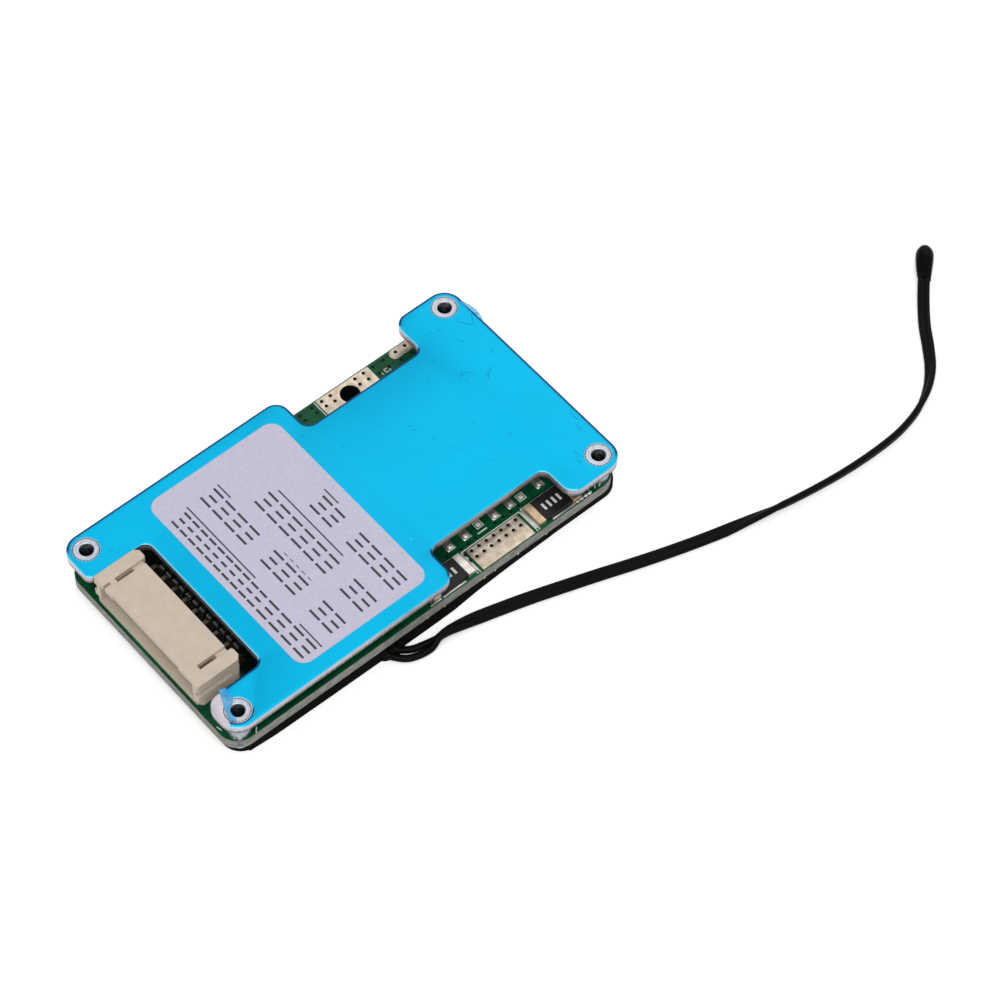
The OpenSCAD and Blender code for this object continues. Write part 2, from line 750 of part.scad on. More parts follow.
heat_plate();
protective_film();
label();
standoff(-1, -1);  // standoff_front_left
standoff(1, -1);  // standoff_front_right
standoff(-1, 1);  // standoff_back_left
standoff(1, 1);  // standoff_back_right
circuit_board();
front_pad();
back_pad();
charge_pad();
socket_housing();
socket_pins();
pin_solder();
transistor(1, -1);  // transistor_front_1
transistor(2, -1);  // transistor_front_2
transistor(3, -1);  // transistor_front_3
transistor(1, 1);  // transistor_back_1
transistor(2, 1);  // transistor_back_2
transistor(3, 1);  // transistor_back_3
thermal_pad();
shunt(-1);  // shunt_left
shunt(1);  // shunt_right
filter_resistors();
insulating_pad();
control_chip();
balance_transistors();
balance_resistors();
cell_capacitors();
lead_solder();
sensor_lead_a();
sensor_lead_b();
sensor_cord();
sensor_bead();
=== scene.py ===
"""Looks of the battery management board: film, label, solder, threads, print and the sensor's lead."""
import math
import random

import bmesh
import bpy
import numpy as np
from mathutils import Matrix, Vector
from mathutils.geometry import delaunay_2d_cdt


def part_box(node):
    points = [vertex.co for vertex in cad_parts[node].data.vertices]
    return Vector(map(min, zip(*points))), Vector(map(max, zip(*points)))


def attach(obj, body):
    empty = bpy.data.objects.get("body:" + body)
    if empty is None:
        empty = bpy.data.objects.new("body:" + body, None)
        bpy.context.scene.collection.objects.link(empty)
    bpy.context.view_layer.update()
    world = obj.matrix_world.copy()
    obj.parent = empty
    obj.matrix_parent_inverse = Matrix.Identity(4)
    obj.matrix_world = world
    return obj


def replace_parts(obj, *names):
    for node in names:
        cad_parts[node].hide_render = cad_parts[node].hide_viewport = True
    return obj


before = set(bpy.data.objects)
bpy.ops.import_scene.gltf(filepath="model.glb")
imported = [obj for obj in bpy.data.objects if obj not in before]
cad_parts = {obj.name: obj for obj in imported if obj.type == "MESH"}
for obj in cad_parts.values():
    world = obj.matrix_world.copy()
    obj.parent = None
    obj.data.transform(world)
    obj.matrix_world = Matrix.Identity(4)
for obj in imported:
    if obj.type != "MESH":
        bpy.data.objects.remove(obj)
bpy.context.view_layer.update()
MM = 0.001


# ---- measures taken from the frame, in millimetres ----

def low(node):
    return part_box(node)[0] / MM


def high(node):
    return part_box(node)[1] / MM


BOARD_TOP = high("circuit_board").z
BOARD_BOTTOM = low("circuit_board").z
BOARD_FRONT = low("circuit_board").y
PLATE_TOP = high("heat_plate").z
PLATE_BOTTOM = low("heat_plate").z
FILM_TOP = high("protective_film").z
FILM_RIGHT = high("protective_film").x
LABEL_TOP = high("label").z
PAD_TOP = high("front_pad").z
HOLE_X = (high("standoff_front_right").x + low("standoff_front_right").x) / 2
HOLE_Y = (high("standoff_back_left").y + low("standoff_back_left").y) / 2


# ---- colours, nodes and materials ----

# a mix has inputs of one name for each kind of value, so its colours and its plain values go by number
FACTOR, FIRST, SECOND, FIRST_VALUE, SECOND_VALUE = 0, 6, 7, 2, 3


def linear(code):
    """An sRGB hex colour as linear red, green, blue and alpha."""
    parts = [int(code[i:i + 2], 16) / 255 for i in (1, 3, 5)]
    return tuple(c / 12.92 if c <= 0.04045 else ((c + 0.055) / 1.055) ** 2.4 for c in parts) + (1.0,)


def add(tree, kind, inputs=None, **settings):
    """Adds a node, makes its settings and fills its inputs. An input takes a plain value, a colour's
    hex code, another node's socket, or a node, which gives its first output in use."""
    made = tree.nodes.new(kind)
    for name, value in settings.items():
        setattr(made, name, value)
    for name, value in (inputs or {}).items():
        if isinstance(value, bpy.types.Node):
            value = next(socket for socket in value.outputs if socket.enabled)
        if isinstance(value, bpy.types.NodeSocket):
            tree.links.new(value, made.inputs[name])
        else:
            made.inputs[name].default_value = linear(value) if isinstance(value, str) else value
    return made


def begin(name):
    """A new empty material, its tree, and the place of each point in the row frame in metres."""
    material = bpy.data.materials.new(name)
    material.use_nodes = True
    tree = material.node_tree
    tree.nodes.clear()
    return material, tree, add(tree, "ShaderNodeTexCoord").outputs["Object"]


def per(size_mm):
    """A texture's scale whose features come once every so many millimetres."""
    return 1 / (size_mm * MM)


def mottled(tree, pattern, start, end, first, second):
    """Two tones in soft patches: the first where the pattern is below start, the second above end."""
    share = add(tree, "ShaderNodeMapRange", {"Value": pattern, "From Min": start, "From Max": end})
    return add(tree, "ShaderNodeMix", {FACTOR: share, FIRST: first, SECOND: second}, data_type="RGBA")


def blue_film():
    """Polyethylene protective film, blown and blue, over bare aluminium: the metal lights it from
    below, so it reads as one bright cyan, with specks of dust caught under it."""
    material, tree, place = begin("blue_polyethylene_film")
    cloud = add(tree, "ShaderNodeTexNoise", {"Vector": place, "Scale": per(14), "Detail": 3.0})
    colour = mottled(tree, cloud, 0.35, 0.65, "#00B2E0", "#00B9E7")
    dust = add(tree, "ShaderNodeTexVoronoi", {"Vector": place, "Scale": per(2.6), "Randomness": 1.0})
    grain = add(tree, "ShaderNodeMapRange", {
        "Value": dust, "From Min": 0.035, "From Max": 0.05, "To Min": 1.0, "To Max": 0.0,
    })
    sparse = add(tree, "ShaderNodeTexNoise", {"Vector": place, "Scale": per(5), "Detail": 1.0})
    dusty = add(tree, "ShaderNodeMapRange", {"Value": sparse, "From Min": 0.56, "From Max": 0.6})
    speck = add(tree, "ShaderNodeMath", {0: grain, 1: dusty}, operation="MULTIPLY")
    colour = add(tree, "ShaderNodeMix", {FACTOR: speck, FIRST: colour, SECOND: "#8FDDF2"}, data_type="RGBA")
    # painted light and shade on the rolled edge: where the punch drew the edge down, faces towards the front
    # get a painted highlight in light cyan and faces turned back a painted shade in deep blue
    normal = add(tree, "ShaderNodeSeparateXYZ", {0: add(tree, "ShaderNodeNewGeometry").outputs["Normal"]})
    rightwards = add(tree, "ShaderNodeMapRange", {
        "Value": normal.outputs["X"], "From Min": -1, "From Max": 1, "To Min": -0.65, "To Max": 0.85,
    })
    backwards = add(tree, "ShaderNodeMath", {0: normal.outputs["Y"], 1: rightwards}, operation="ADD")
    behind = add(tree, "ShaderNodeMapRange", {"Value": backwards, "From Min": -0.1, "From Max": 0.1})
    leftwards = add(tree, "ShaderNodeMapRange", {
        "Value": normal.outputs["X"], "From Min": -0.3, "From Max": -0.15, "To Min": 1.0, "To Max": 0.0,
    })
    rim_highlight = add(tree, "ShaderNodeMix", {
        FACTOR: leftwards, FIRST: "#2CC3EE", SECOND: "#86DAF4",
    }, data_type="RGBA")
    # rim: the painted highlight in front, the painted shade in deep blue behind
    rim = add(tree, "ShaderNodeMix", {FACTOR: behind, FIRST: rim_highlight, SECOND: "#033F70"}, data_type="RGBA")
    front_tilt, back_tilt = [add(tree, "ShaderNodeMapRange", {
        "Value": normal.outputs["Z"], "From Min": steep, "From Max": level, "To Min": 1.0, "To Max": 0.0,
    }) for steep, level in ((0.82, 0.94), (0.975, 0.999))]
    tilt = add(tree, "ShaderNodeMix", {FACTOR: behind, FIRST_VALUE: front_tilt, SECOND_VALUE: back_tilt})
    colour = add(tree, "ShaderNodeMix", {FACTOR: tilt, FIRST: colour, SECOND: rim}, data_type="RGBA")
    ripple = add(tree, "ShaderNodeTexNoise", {"Vector": place, "Scale": per(1.1), "Detail": 4.0})
    bump = add(tree, "ShaderNodeBump", {"Height": ripple, "Strength": 0.1, "Distance": 0.02 * MM})
    sheen = add(tree, "ShaderNodeMapRange", {
        "Value": cloud, "From Min": 0.3, "From Max": 0.7, "To Min": 0.34, "To Max": 0.44,
    })
    film_skin = add(tree, "ShaderNodeBsdfPrincipled", {
        "Base Color": colour, "Metallic": 0.12, "Roughness": sheen, "IOR": 1.5, "Specular IOR Level": 0.08,
        "Normal": bump,
    })
    add(tree, "ShaderNodeOutputMaterial", {"Surface": film_skin})
    return material


def cut_aluminium():
    """Rolled aluminium sheet, punched: satin faces with rolling lines, and edges darker towards the bottom:
    the dull zone the tool tore there, with painted shade low on the wall as well."""
    material, tree, place = begin("punched_aluminium_sheet")
    rolled = add(tree, "ShaderNodeMapping", {"Vector": place, "Scale": (0.08, 1.0, 1.0)})
    lines = add(tree, "ShaderNodeTexNoise", {"Vector": rolled, "Scale": per(0.18), "Detail": 3.0})
    cloud = add(tree, "ShaderNodeTexNoise", {"Vector": place, "Scale": per(2.5), "Detail": 3.0})
    satin = mottled(tree, cloud, 0.3, 0.7, "#AFA9B0", "#C6C0C7")
    # partly painted shade: the walls darken towards the bottom, for the torn zone and for the shade low on
    # the wall
    torn = add(tree, "ShaderNodeMapRange", {
        "Value": add(tree, "ShaderNodeSeparateXYZ", {0: place}).outputs["Z"],
        "From Min": (PLATE_BOTTOM + 0.3) * MM, "From Max": (PLATE_BOTTOM + 0.6) * MM,
        "To Min": 1.0, "To Max": 0.0,
    })
    grit = add(tree, "ShaderNodeTexNoise", {"Vector": place, "Scale": per(0.35), "Detail": 4.0})
    torn_and_shaded_tone = mottled(tree, grit, 0.4, 0.6, "#57535A", "#918B92")
    colour = add(tree, "ShaderNodeMix", {FACTOR: torn, FIRST: satin, SECOND: torn_and_shaded_tone}, data_type="RGBA")
    bump = add(tree, "ShaderNodeBump", {"Height": lines, "Strength": 0.3, "Distance": 0.02 * MM})
    sheen = add(tree, "ShaderNodeMapRange", {
        "Value": lines, "From Min": 0.3, "From Max": 0.7, "To Min": 0.38, "To Max": 0.52,
    })
    sheet_metal = add(tree, "ShaderNodeBsdfPrincipled", {
        "Base Color": colour, "Metallic": 0.9, "Roughness": sheen, "Normal": bump,
    })
    add(tree, "ShaderNodeOutputMaterial", {"Surface": sheet_metal})
    return material


def label_paper():
    """Thermal label paper, coated: matt, a cool lilac grey, with a faint cloudy fibre."""
    material, tree, place = begin("coated_label_paper")
    fibre = add(tree, "ShaderNodeTexNoise", {"Vector": place, "Scale": per(0.5), "Detail": 5.0})
    colour = mottled(tree, fibre, 0.3, 0.7, "#BAB7CB", "#C2BFD2")
    bump = add(tree, "ShaderNodeBump", {"Height": fibre, "Strength": 0.15, "Distance": 0.02 * MM})
    coat = add(tree, "ShaderNodeBsdfPrincipled", {
        "Base Color": colour, "Roughness": 0.62, "IOR": 1.45, "Normal": bump,
    })
    add(tree, "ShaderNodeOutputMaterial", {"Surface": coat})
    return material


def printed_ink(name, code):
    """Ribbon ink: a flat matt layer, a little thin in places."""
    material, tree, place = begin(name)
    layer = add(tree, "ShaderNodeTexNoise", {"Vector": place, "Scale": per(0.25), "Detail": 3.0})
    thin = add(tree, "ShaderNodeMapRange", {"Value": layer, "From Min": 0.4, "From Max": 0.75})
    lighter = "#" + "".join(f"{min(255, int(code[i:i + 2], 16) + 22):02X}" for i in (1, 3, 5))
    colour = add(tree, "ShaderNodeMix", {FACTOR: thin, FIRST: code, SECOND: lighter}, data_type="RGBA")
    print_layer = add(tree, "ShaderNodeBsdfPrincipled", {"Base Color": colour, "Roughness": 0.6})
    add(tree, "ShaderNodeOutputMaterial", {"Surface": print_layer})
    return material


def turned_steel(name, dull, bright, roughness):
    """Free-cutting steel, turned and nickel plated: fine rings from the tool, a soft sheen."""
    material, tree, place = begin(name)
    rings = add(tree, "ShaderNodeTexWave", {
        "Vector": place, "Scale": per(1.1), "Distortion": 0.6, "Detail": 1.0,
    }, wave_type="RINGS", rings_direction="Z")
    cloud = add(tree, "ShaderNodeTexNoise", {"Vector": place, "Scale": per(0.6), "Detail": 3.0})
    colour = mottled(tree, cloud, 0.3, 0.7, dull, bright)
    bump = add(tree, "ShaderNodeBump", {"Height": rings, "Strength": 0.15, "Distance": 0.01 * MM})
    sheen = add(tree, "ShaderNodeMapRange", {
        "Value": cloud, "From Min": 0.3, "From Max": 0.7,
        "To Min": roughness - 0.06, "To Max": roughness + 0.06,
    })
    plating = add(tree, "ShaderNodeBsdfPrincipled", {
        "Base Color": colour, "Metallic": 1.0, "Roughness": sheen, "Normal": bump,
    })
    add(tree, "ShaderNodeOutputMaterial", {"Surface": plating})
    return material


def solder_mask_board():
    """Glass and epoxy laminate under green solder mask: glossy green faces that show the copper
    below as paler tracks, painted shade along the socket's pins, and sawn edges of bare grey laminate."""
    material, tree, place = begin("solder_masked_glass_laminate")
    spot = add(tree, "ShaderNodeSeparateXYZ", {0: place})
    normal = add(tree, "ShaderNodeSeparateXYZ", {0: add(tree, "ShaderNodeNewGeometry").outputs["Normal"]})
    level = add(tree, "ShaderNodeMath", {0: normal.outputs["Z"]}, operation="ABSOLUTE")
    face = add(tree, "ShaderNodeMath", {0: level, 1: 0.5}, operation="GREATER_THAN")
    # tracks: pours and lines of copper, 1.2 mm apart where they run side by side
    tracks = add(tree, "ShaderNodeTexBrick", {
        "Vector": place, "Color1": (1, 1, 1, 1), "Color2": (0.6, 0.6, 0.6, 1), "Mortar": (0, 0, 0, 1),
        "Scale": per(2.4), "Mortar Size": 0.06, "Brick Width": 3.1, "Row Height": 0.5,
    }, offset=0.37)
    mask = add(tree, "ShaderNodeMix", {FACTOR: tracks, FIRST: "#01321B", SECOND: "#06482A"}, data_type="RGBA")
    cloud = add(tree, "ShaderNodeTexNoise", {"Vector": place, "Scale": per(4), "Detail": 2.0})
    copper = add(tree, "ShaderNodeMapRange", {
        "Value": cloud, "From Min": 0.35, "From Max": 0.7, "To Min": 0.0, "To Max": 0.35,
    })
    mask = add(tree, "ShaderNodeMix", {FACTOR: copper, FIRST: mask, SECOND: "#0C7041"}, data_type="RGBA")
    # painted shade: the mask is darkened along the socket's pins, behind the socket, where shade falls
    socket_shade = add(tree, "ShaderNodeMapRange", {
        "Value": spot.outputs["X"], "From Min": -19.0 * MM, "From Max": -18.4 * MM,
        "To Min": 1.0, "To Max": 0.0,
    })
    for axis, start in (("X", -23.2), ("Y", -13.4)):
        past = add(tree, "ShaderNodeMapRange", {
            "Value": spot.outputs[axis], "From Min": start * MM, "From Max": (start + 0.6) * MM,
        })
        socket_shade = add(tree, "ShaderNodeMath", {0: socket_shade, 1: past}, operation="MULTIPLY")
    mask = add(tree, "ShaderNodeMix", {FACTOR: socket_shade, FIRST: mask, SECOND: "#03120B"}, data_type="RGBA")
    weave = add(tree, "ShaderNodeMapping", {"Vector": place, "Scale": (1.0, 1.0, 12.0)})
    layers = add(tree, "ShaderNodeTexNoise", {"Vector": weave, "Scale": per(1.3), "Detail": 4.0})
    sawn = mottled(tree, layers, 0.35, 0.65, "#686965", "#A6A59E")
    colour = add(tree, "ShaderNodeMix", {FACTOR: face, FIRST: sawn, SECOND: mask}, data_type="RGBA")
    height = add(tree, "ShaderNodeMix", {
        FACTOR: face, FIRST: layers.outputs["Color"], SECOND: tracks,
    }, data_type="RGBA")
    bump = add(tree, "ShaderNodeBump", {"Height": height, "Strength": 0.25, "Distance": 0.03 * MM})
    sheen = add(tree, "ShaderNodeMapRange", {
        "Value": face, "From Min": 0, "From Max": 1, "To Min": 0.7, "To Max": 0.3,
    })
    board_skin = add(tree, "ShaderNodeBsdfPrincipled", {
        "Base Color": colour, "Roughness": sheen, "IOR": 1.5, "Normal": bump, "Specular IOR Level": 0.12,
    })
    add(tree, "ShaderNodeOutputMaterial", {"Surface": board_skin})
    return material


def tinned(name, dull, bright, roughness):
    """Tin-lead solder over copper, levelled by hot air: a warm silver skin, slightly lumpy."""
    material, tree, place = begin(name)
    lumps = add(tree, "ShaderNodeTexNoise", {"Vector": place, "Scale": per(0.9), "Detail": 4.0})
    colour = mottled(tree, lumps, 0.35, 0.65, dull, bright)
    bump = add(tree, "ShaderNodeBump", {"Height": lumps, "Strength": 0.35, "Distance": 0.04 * MM})
    solder = add(tree, "ShaderNodeBsdfPrincipled", {
        "Base Color": colour, "Metallic": 0.85, "Roughness": roughness, "Normal": bump,
    })
    add(tree, "ShaderNodeOutputMaterial", {"Surface": solder})
    return material


def part_metal(name, body, axis, spans):
    """Epoxy, moulded round tinned metal: dark, and silver where the distance from the board's middle
    along an axis lies in one of the spans."""
    material, tree, place = begin(name)
    signed = add(tree, "ShaderNodeSeparateXYZ", {0: place}).outputs[axis]
    away = add(tree, "ShaderNodeMath", {0: signed}, operation="ABSOLUTE")
    metal = 0.0
    for start, end in spans:
        over = add(tree, "ShaderNodeMath", {0: away, 1: start * MM}, operation="GREATER_THAN")
        under = add(tree, "ShaderNodeMath", {0: away, 1: end * MM}, operation="LESS_THAN")
        span = add(tree, "ShaderNodeMath", {0: over, 1: under}, operation="MULTIPLY")
        metal = add(tree, "ShaderNodeMath", {0: metal, 1: span}, operation="ADD")
    lumps = add(tree, "ShaderNodeTexNoise", {"Vector": place, "Scale": per(0.4), "Detail": 3.0})
    bump = add(tree, "ShaderNodeBump", {"Height": lumps, "Strength": 0.25, "Distance": 0.03 * MM})
    colour = add(tree, "ShaderNodeMix", {FACTOR: metal, FIRST: body, SECOND: "#CFCBC4"}, data_type="RGBA")
    metallic, sheen = [add(tree, "ShaderNodeMapRange", {
        "Value": metal, "From Min": 0, "From Max": 1, "To Min": resin_value, "To Max": tin_value,
    }) for resin_value, tin_value in ((0.0, 0.9), (0.55, 0.35))]
    package = add(tree, "ShaderNodeBsdfPrincipled", {
        "Base Color": colour, "Metallic": metallic, "Roughness": sheen, "Specular IOR Level": 0.25,
        "Normal": bump,
    })
    add(tree, "ShaderNodeOutputMaterial", {"Surface": package})
    return material


def lifted_film():
    """The same film where it stands off the metal: thinner to the eye, deeper blue at a fold."""
    material, tree, place = begin("lifted_blue_film")
    fold = add(tree, "ShaderNodeTexNoise", {"Vector": place, "Scale": per(1.2), "Detail": 2.0})
    colour = mottled(tree, fold, 0.4, 0.6, "#1FA6E6", "#56C0F0")
    see_through = add(tree, "ShaderNodeMapRange", {
        "Value": fold, "From Min": 0.35, "From Max": 0.65, "To Min": 0.7, "To Max": 0.4,
    })
    film_skin = add(tree, "ShaderNodeBsdfPrincipled", {
        "Base Color": colour, "Roughness": 0.25, "Alpha": see_through,
    })
    add(tree, "ShaderNodeOutputMaterial", {"Surface": film_skin})
    return material


def moulded(name, dark, pale, roughness, grain_mm, ior=1.5, depth=0.02, gloss=0.5):
    """A moulded or pressed surface: two close tones and a fine even grain."""
    material, tree, place = begin(name)
    grain = add(tree, "ShaderNodeTexNoise", {"Vector": place, "Scale": per(grain_mm), "Detail": 4.0})
    cloud = add(tree, "ShaderNodeTexNoise", {"Vector": place, "Scale": per(12 * grain_mm), "Detail": 2.0})
    colour = mottled(tree, cloud, 0.3, 0.7, dark, pale)
    bump = add(tree, "ShaderNodeBump", {"Height": grain, "Strength": 0.3, "Distance": depth * MM})
    sheen = add(tree, "ShaderNodeMapRange", {
        "Value": grain, "From Min": 0.3, "From Max": 0.7,
        "To Min": roughness - 0.05, "To Max": roughness + 0.05,
    })
    moulding = add(tree, "ShaderNodeBsdfPrincipled", {
        "Base Color": colour, "Roughness": sheen, "IOR": ior, "Normal": bump, "Specular IOR Level": gloss,
    })
    add(tree, "ShaderNodeOutputMaterial", {"Surface": moulding})
    return material


film = blue_film()
loose_film = lifted_film()
# painted shade in the creases: where the film is pinched to a fold it is an even, deeper blue
crease_shade_film = moulded("crease_shaded_blue_film", "#007CB4", "#0090C6", 0.4, 0.3, gloss=0.1)
aluminium = cut_aluminium()
paper = label_paper()
# the label's print is a soft black, the board's legend an off-white
ink = printed_ink("label_ribbon_ink", "#1B1B22")
silkscreen = printed_ink("white_legend_ink", "#C9CFC8")
# the standoffs are satin outside; in the thread they are glossier and darker, a painted shade down the bore
steel = turned_steel("nickel_plated_turned_steel", "#A0A3AC", "#B9BDC6", 0.48)
bore_shade_steel = turned_steel("bore_shaded_steel", "#33373B", "#5C6166", 0.34)
laminate = solder_mask_board()
# tin is warm and even where hot air levelled it, and paler where it was melted again
tin = tinned("hot_air_levelled_tin", "#AA9C89", "#C6BAAA", 0.42)
bright_tin = tinned("reflowed_solder", "#A9A6A1", "#D6D3CD", 0.4)
# painted shade: the tinned brass pins and their joints behind the socket are coloured dark brown for the
# shade they lie in
shaded_pin_tin = tinned("tinned_brass_pins_in_shade", "#443C32", "#5C5347", 0.5)
shaded_joint_tin = tinned("pin_joints_in_shade", "#2A221B", "#4A3F35", 0.42)
# one shunt's ends keep their coppery plating, and solder has run over the other's
copper_end = tinned("plated_shunt_ends", "#B79C7C", "#D2BC9C", 0.4)
tinned_end = tinned("solder_covered_shunt_ends", "#BDB3A6", "#DDD8D0", 0.42)
# painted highlight: the flat test pads are coloured near white for the light they catch
test_pad_highlight = moulded("test_pads_painted_highlight", "#DAD8D2", "#EFEEEA", 0.4, 0.3)
# nylon has a warm ivory tone and a soft sheen, and the filled epoxies are a dull or satin black
nylon = moulded("moulded_ivory_nylon", "#C0B2A1", "#C7BAAA", 0.5, 0.12, ior=1.53, gloss=0.3)
resin = moulded("moulded_black_epoxy", "#191819", "#232223", 0.55, 0.06, gloss=0.2)
glaze = moulded("shunt_black_epoxy_coat", "#181517", "#211D20", 0.42, 0.2, gloss=0.2)
# pad and foam are matt, with cells that break up the light
silicone = moulded("thermal_silicone_pad", "#8A93A6", "#9AA3B4", 0.75, 0.2, depth=0.05)
# partly painted shade: the foam is near black, and along the board's front edge its black also stands for the
# shade under the board
foam = moulded("closed_cell_foam", "#060607", "#0D0D0E", 0.85, 0.25, depth=0.08, gloss=0.05)
# fired ceramic is a flat tan
ceramic = moulded("fired_capacitor_ceramic", "#A98A68", "#BC9C79", 0.5, 0.1)
# the leads' PVC is black with hardly a sheen, and the dipped head smoother and deeper still
jacket = moulded("extruded_black_pvc", "#040405", "#080809", 0.45, 0.3, gloss=0.06)
dip = moulded("dipped_black_epoxy", "#020203", "#050506", 0.3, 0.5, depth=0.05, gloss=0.05)
# the plated holes are too narrow for light to reach down them
barrel = moulded("shadowed_via_barrel", "#0A0A09", "#11100E", 0.7, 0.1, gloss=0.1)
# the chip resistors' two metal ends, and the transistors' tab and leads, by how far from the middle they lie
resistor_finish = part_metal("chip_resistor_on_alumina", "#17171A", "X", [(19.4, 19.75), (20.93, 21.2)])
transistor_finish = part_metal("transistor_epoxy_and_tinned_leads", "#1B1B1C", "Y", [(0, 2.08), (8.22, 12)])


# ---- shapes, in millimetres ----

def piece(name, verts, faces, material, slot, smooth=38, at=(0, 0, 0)):
    """A piece of the object from points in millimetres. Edges sharper than smooth degrees stay sharp."""
    mesh = bpy.data.meshes.new(name)
    mesh.from_pydata([tuple(float(c) * MM for c in v) for v in verts], [], faces)
    work = bmesh.new()
    work.from_mesh(mesh)
    bmesh.ops.remove_doubles(work, verts=work.verts, dist=1e-7)
    bmesh.ops.recalc_face_normals(work, faces=work.faces)
    work.to_mesh(mesh)
    work.free()
    for polygon in mesh.polygons:
        polygon.use_smooth = True
    mesh.set_sharp_from_angle(angle=math.radians(smooth))
    mesh.materials.append(material)
    made = bpy.data.objects.new(name, mesh)
    bpy.context.scene.collection.objects.link(made)
    made.location = Vector(at) * MM
    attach(made, "root")
    return made


def joined(shapes):
    """Several (points, faces) shapes as one."""
    verts, faces = [], []
    for points, polygons in shapes:
        base = len(verts)
        verts += [tuple(p) for p in points]
        faces += [[base + i for i in polygon] for polygon in polygons]
    return verts, faces


def stacked(rings, closed=True):
    """Rings of as many points each, joined by walls, with flat ends."""
    n = len(rings[0])
    verts = [p for ring in rings for p in ring]
    faces = [[i * n + k, i * n + (k + 1) % n, (i + 1) * n + (k + 1) % n, (i + 1) * n + k]
             for i in range(len(rings) - 1) for k in range(n)]
    if closed:
        faces += [list(range(n))[::-1], [(len(rings) - 1) * n + k for k in range(n)]]
    return verts, faces


def circle(x, y, r, n=20, turn=0.0):
    angles = [turn + 2 * math.pi * k / n for k in range(n)]
    return [(x + r * math.cos(a), y + r * math.sin(a)) for a in angles]


def disc(x, y, r, z0, z1, n=20):
    return stacked([[(*p, z) for p in circle(x, y, r, n)] for z in (z0, z1)])


def washer(x, y, r_in, r_out, z0, z1, n=24):
    """A flat ring with a round hole."""
    rings = [[(*p, z) for p in circle(x, y, r, n)]
             for r, z in ((r_in, z0), (r_out, z0), (r_out, z1), (r_in, z1), (r_in, z0))]
    return stacked(rings, closed=False)


def block(x0, x1, y0, y1, z0, z1, edge=0.0):
    """A bar with its upper edges cut by edge."""
    def rim(cut, z):
        return [(x0 + cut, y0 + cut, z), (x1 - cut, y0 + cut, z),
                (x1 - cut, y1 - cut, z), (x0 + cut, y1 - cut, z)]

    return stacked([rim(0, z0), rim(0, z1 - edge), rim(edge, z1)] if edge else [rim(0, z0), rim(0, z1)])


def blob(x, y, rx, ry, z0, height, n=18, rings=5):
    """A drop of solder that lies on z0: half an egg."""
    levels = []
    for i in range(rings):
        a = i / rings * math.pi / 2
        levels.append([(x + rx * math.cos(a) * math.cos(t), y + ry * math.cos(a) * math.sin(t),
                        z0 + height * math.sin(a)) for t in np.linspace(0, 2 * math.pi, n, endpoint=False)])
    verts, faces = stacked(levels)
    faces.pop()
    verts.append((x, y, z0 + height))
    last = (rings - 1) * n
    faces += [[last + k, last + (k + 1) % n, len(verts) - 1] for k in range(n)]
    return verts, faces


def outlines(node, level):
    """The rims of a CAD node's flat face at a height: loops of points with the face on their left,
    the longest first."""
    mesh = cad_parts[node].data
    spot = [tuple(round(c / MM, 4) for c in v.co) for v in mesh.vertices]
    edges = set()
    for polygon in mesh.polygons:
        corners = [spot[v] for v in polygon.vertices]
        if all(abs(c[2] - level) < 1e-3 for c in corners):
            edges.update((a[:2], b[:2]) for a, b in zip(corners, corners[1:] + corners[:1]))
    follow = {a: b for a, b in edges if (b, a) not in edges}
    loops = []
    while follow:
        start, spot_now = follow.popitem()
        loop = [start]
        while spot_now != start:
            loop.append(spot_now)
            spot_now = follow.pop(spot_now)
        loops.append(loop)
    return sorted(loops, key=lambda loop: -abs(polygon_area(loop)))


def polygon_area(loop):
    return sum(a[0] * b[1] - b[0] * a[1] for a, b in zip(loop, loop[1:] + loop[:1])) / 2


def inset(loop, depth):
    """The loop moved sideways into the face on its left."""
    points = np.array(loop)
    ahead = np.roll(points, -1, 0) - points
    ahead /= np.linalg.norm(ahead, axis=1)[:, None]
    left = np.stack([-ahead[:, 1], ahead[:, 0]], 1)
    both = left + np.roll(left, 1, 0)
    both /= (1 + (left * np.roll(left, 1, 0)).sum(1))[:, None]
    return points + depth * both


def inside(points, loops):
    """Which points lie inside the outer loop and outside the holes."""
    odd = np.zeros(len(points), bool)
    for loop in loops:
        a = np.array(loop)
        b = np.roll(a, -1, 0)
        for (ax, ay), (bx, by) in zip(a, b):
            if ay != by:
                crossed = (ay > points[:, 1]) != (by > points[:, 1])
                odd ^= crossed & (points[:, 0] < (bx - ax) * (points[:, 1] - ay) / (by - ay) + ax)
    return odd


def filled(loops, z, step=None, lift=None):
    """A triangulated face inside the loops, its rim points first, with inner points every step."""
    rim = np.concatenate([np.array(loop) for loop in loops])
    edges, base = [], 0
    for loop in loops:
        edges += [(base + k, base + (k + 1) % len(loop)) for k in range(len(loop))]
        base += len(loop)
    points = rim
    if step:
        (x0, y0), (x1, y1) = rim.min(0), rim.max(0)
        xs, ys = np.meshgrid(np.arange(x0, x1, step), np.arange(y0, y1, step))
        xs[1::2] += step / 2
        grid = np.stack([xs.ravel(), ys.ravel()], 1)
        grid = grid[inside(grid, [inset(loop, 0.4 * step) for loop in loops])]
        points = np.concatenate([rim, grid])
    _, _, faces, source, _, _ = delaunay_2d_cdt([Vector(p) for p in points], edges, [], 1, 1e-6)
    faces = np.array([[source[v][0] for v in face] for face in faces])
    faces = faces[inside(points[faces].mean(1), loops)].tolist()
    heights = np.full(len(points), float(z))
    if lift:
        heights += lift(points)
    return [(*p, h) for p, h in zip(points, heights)], faces


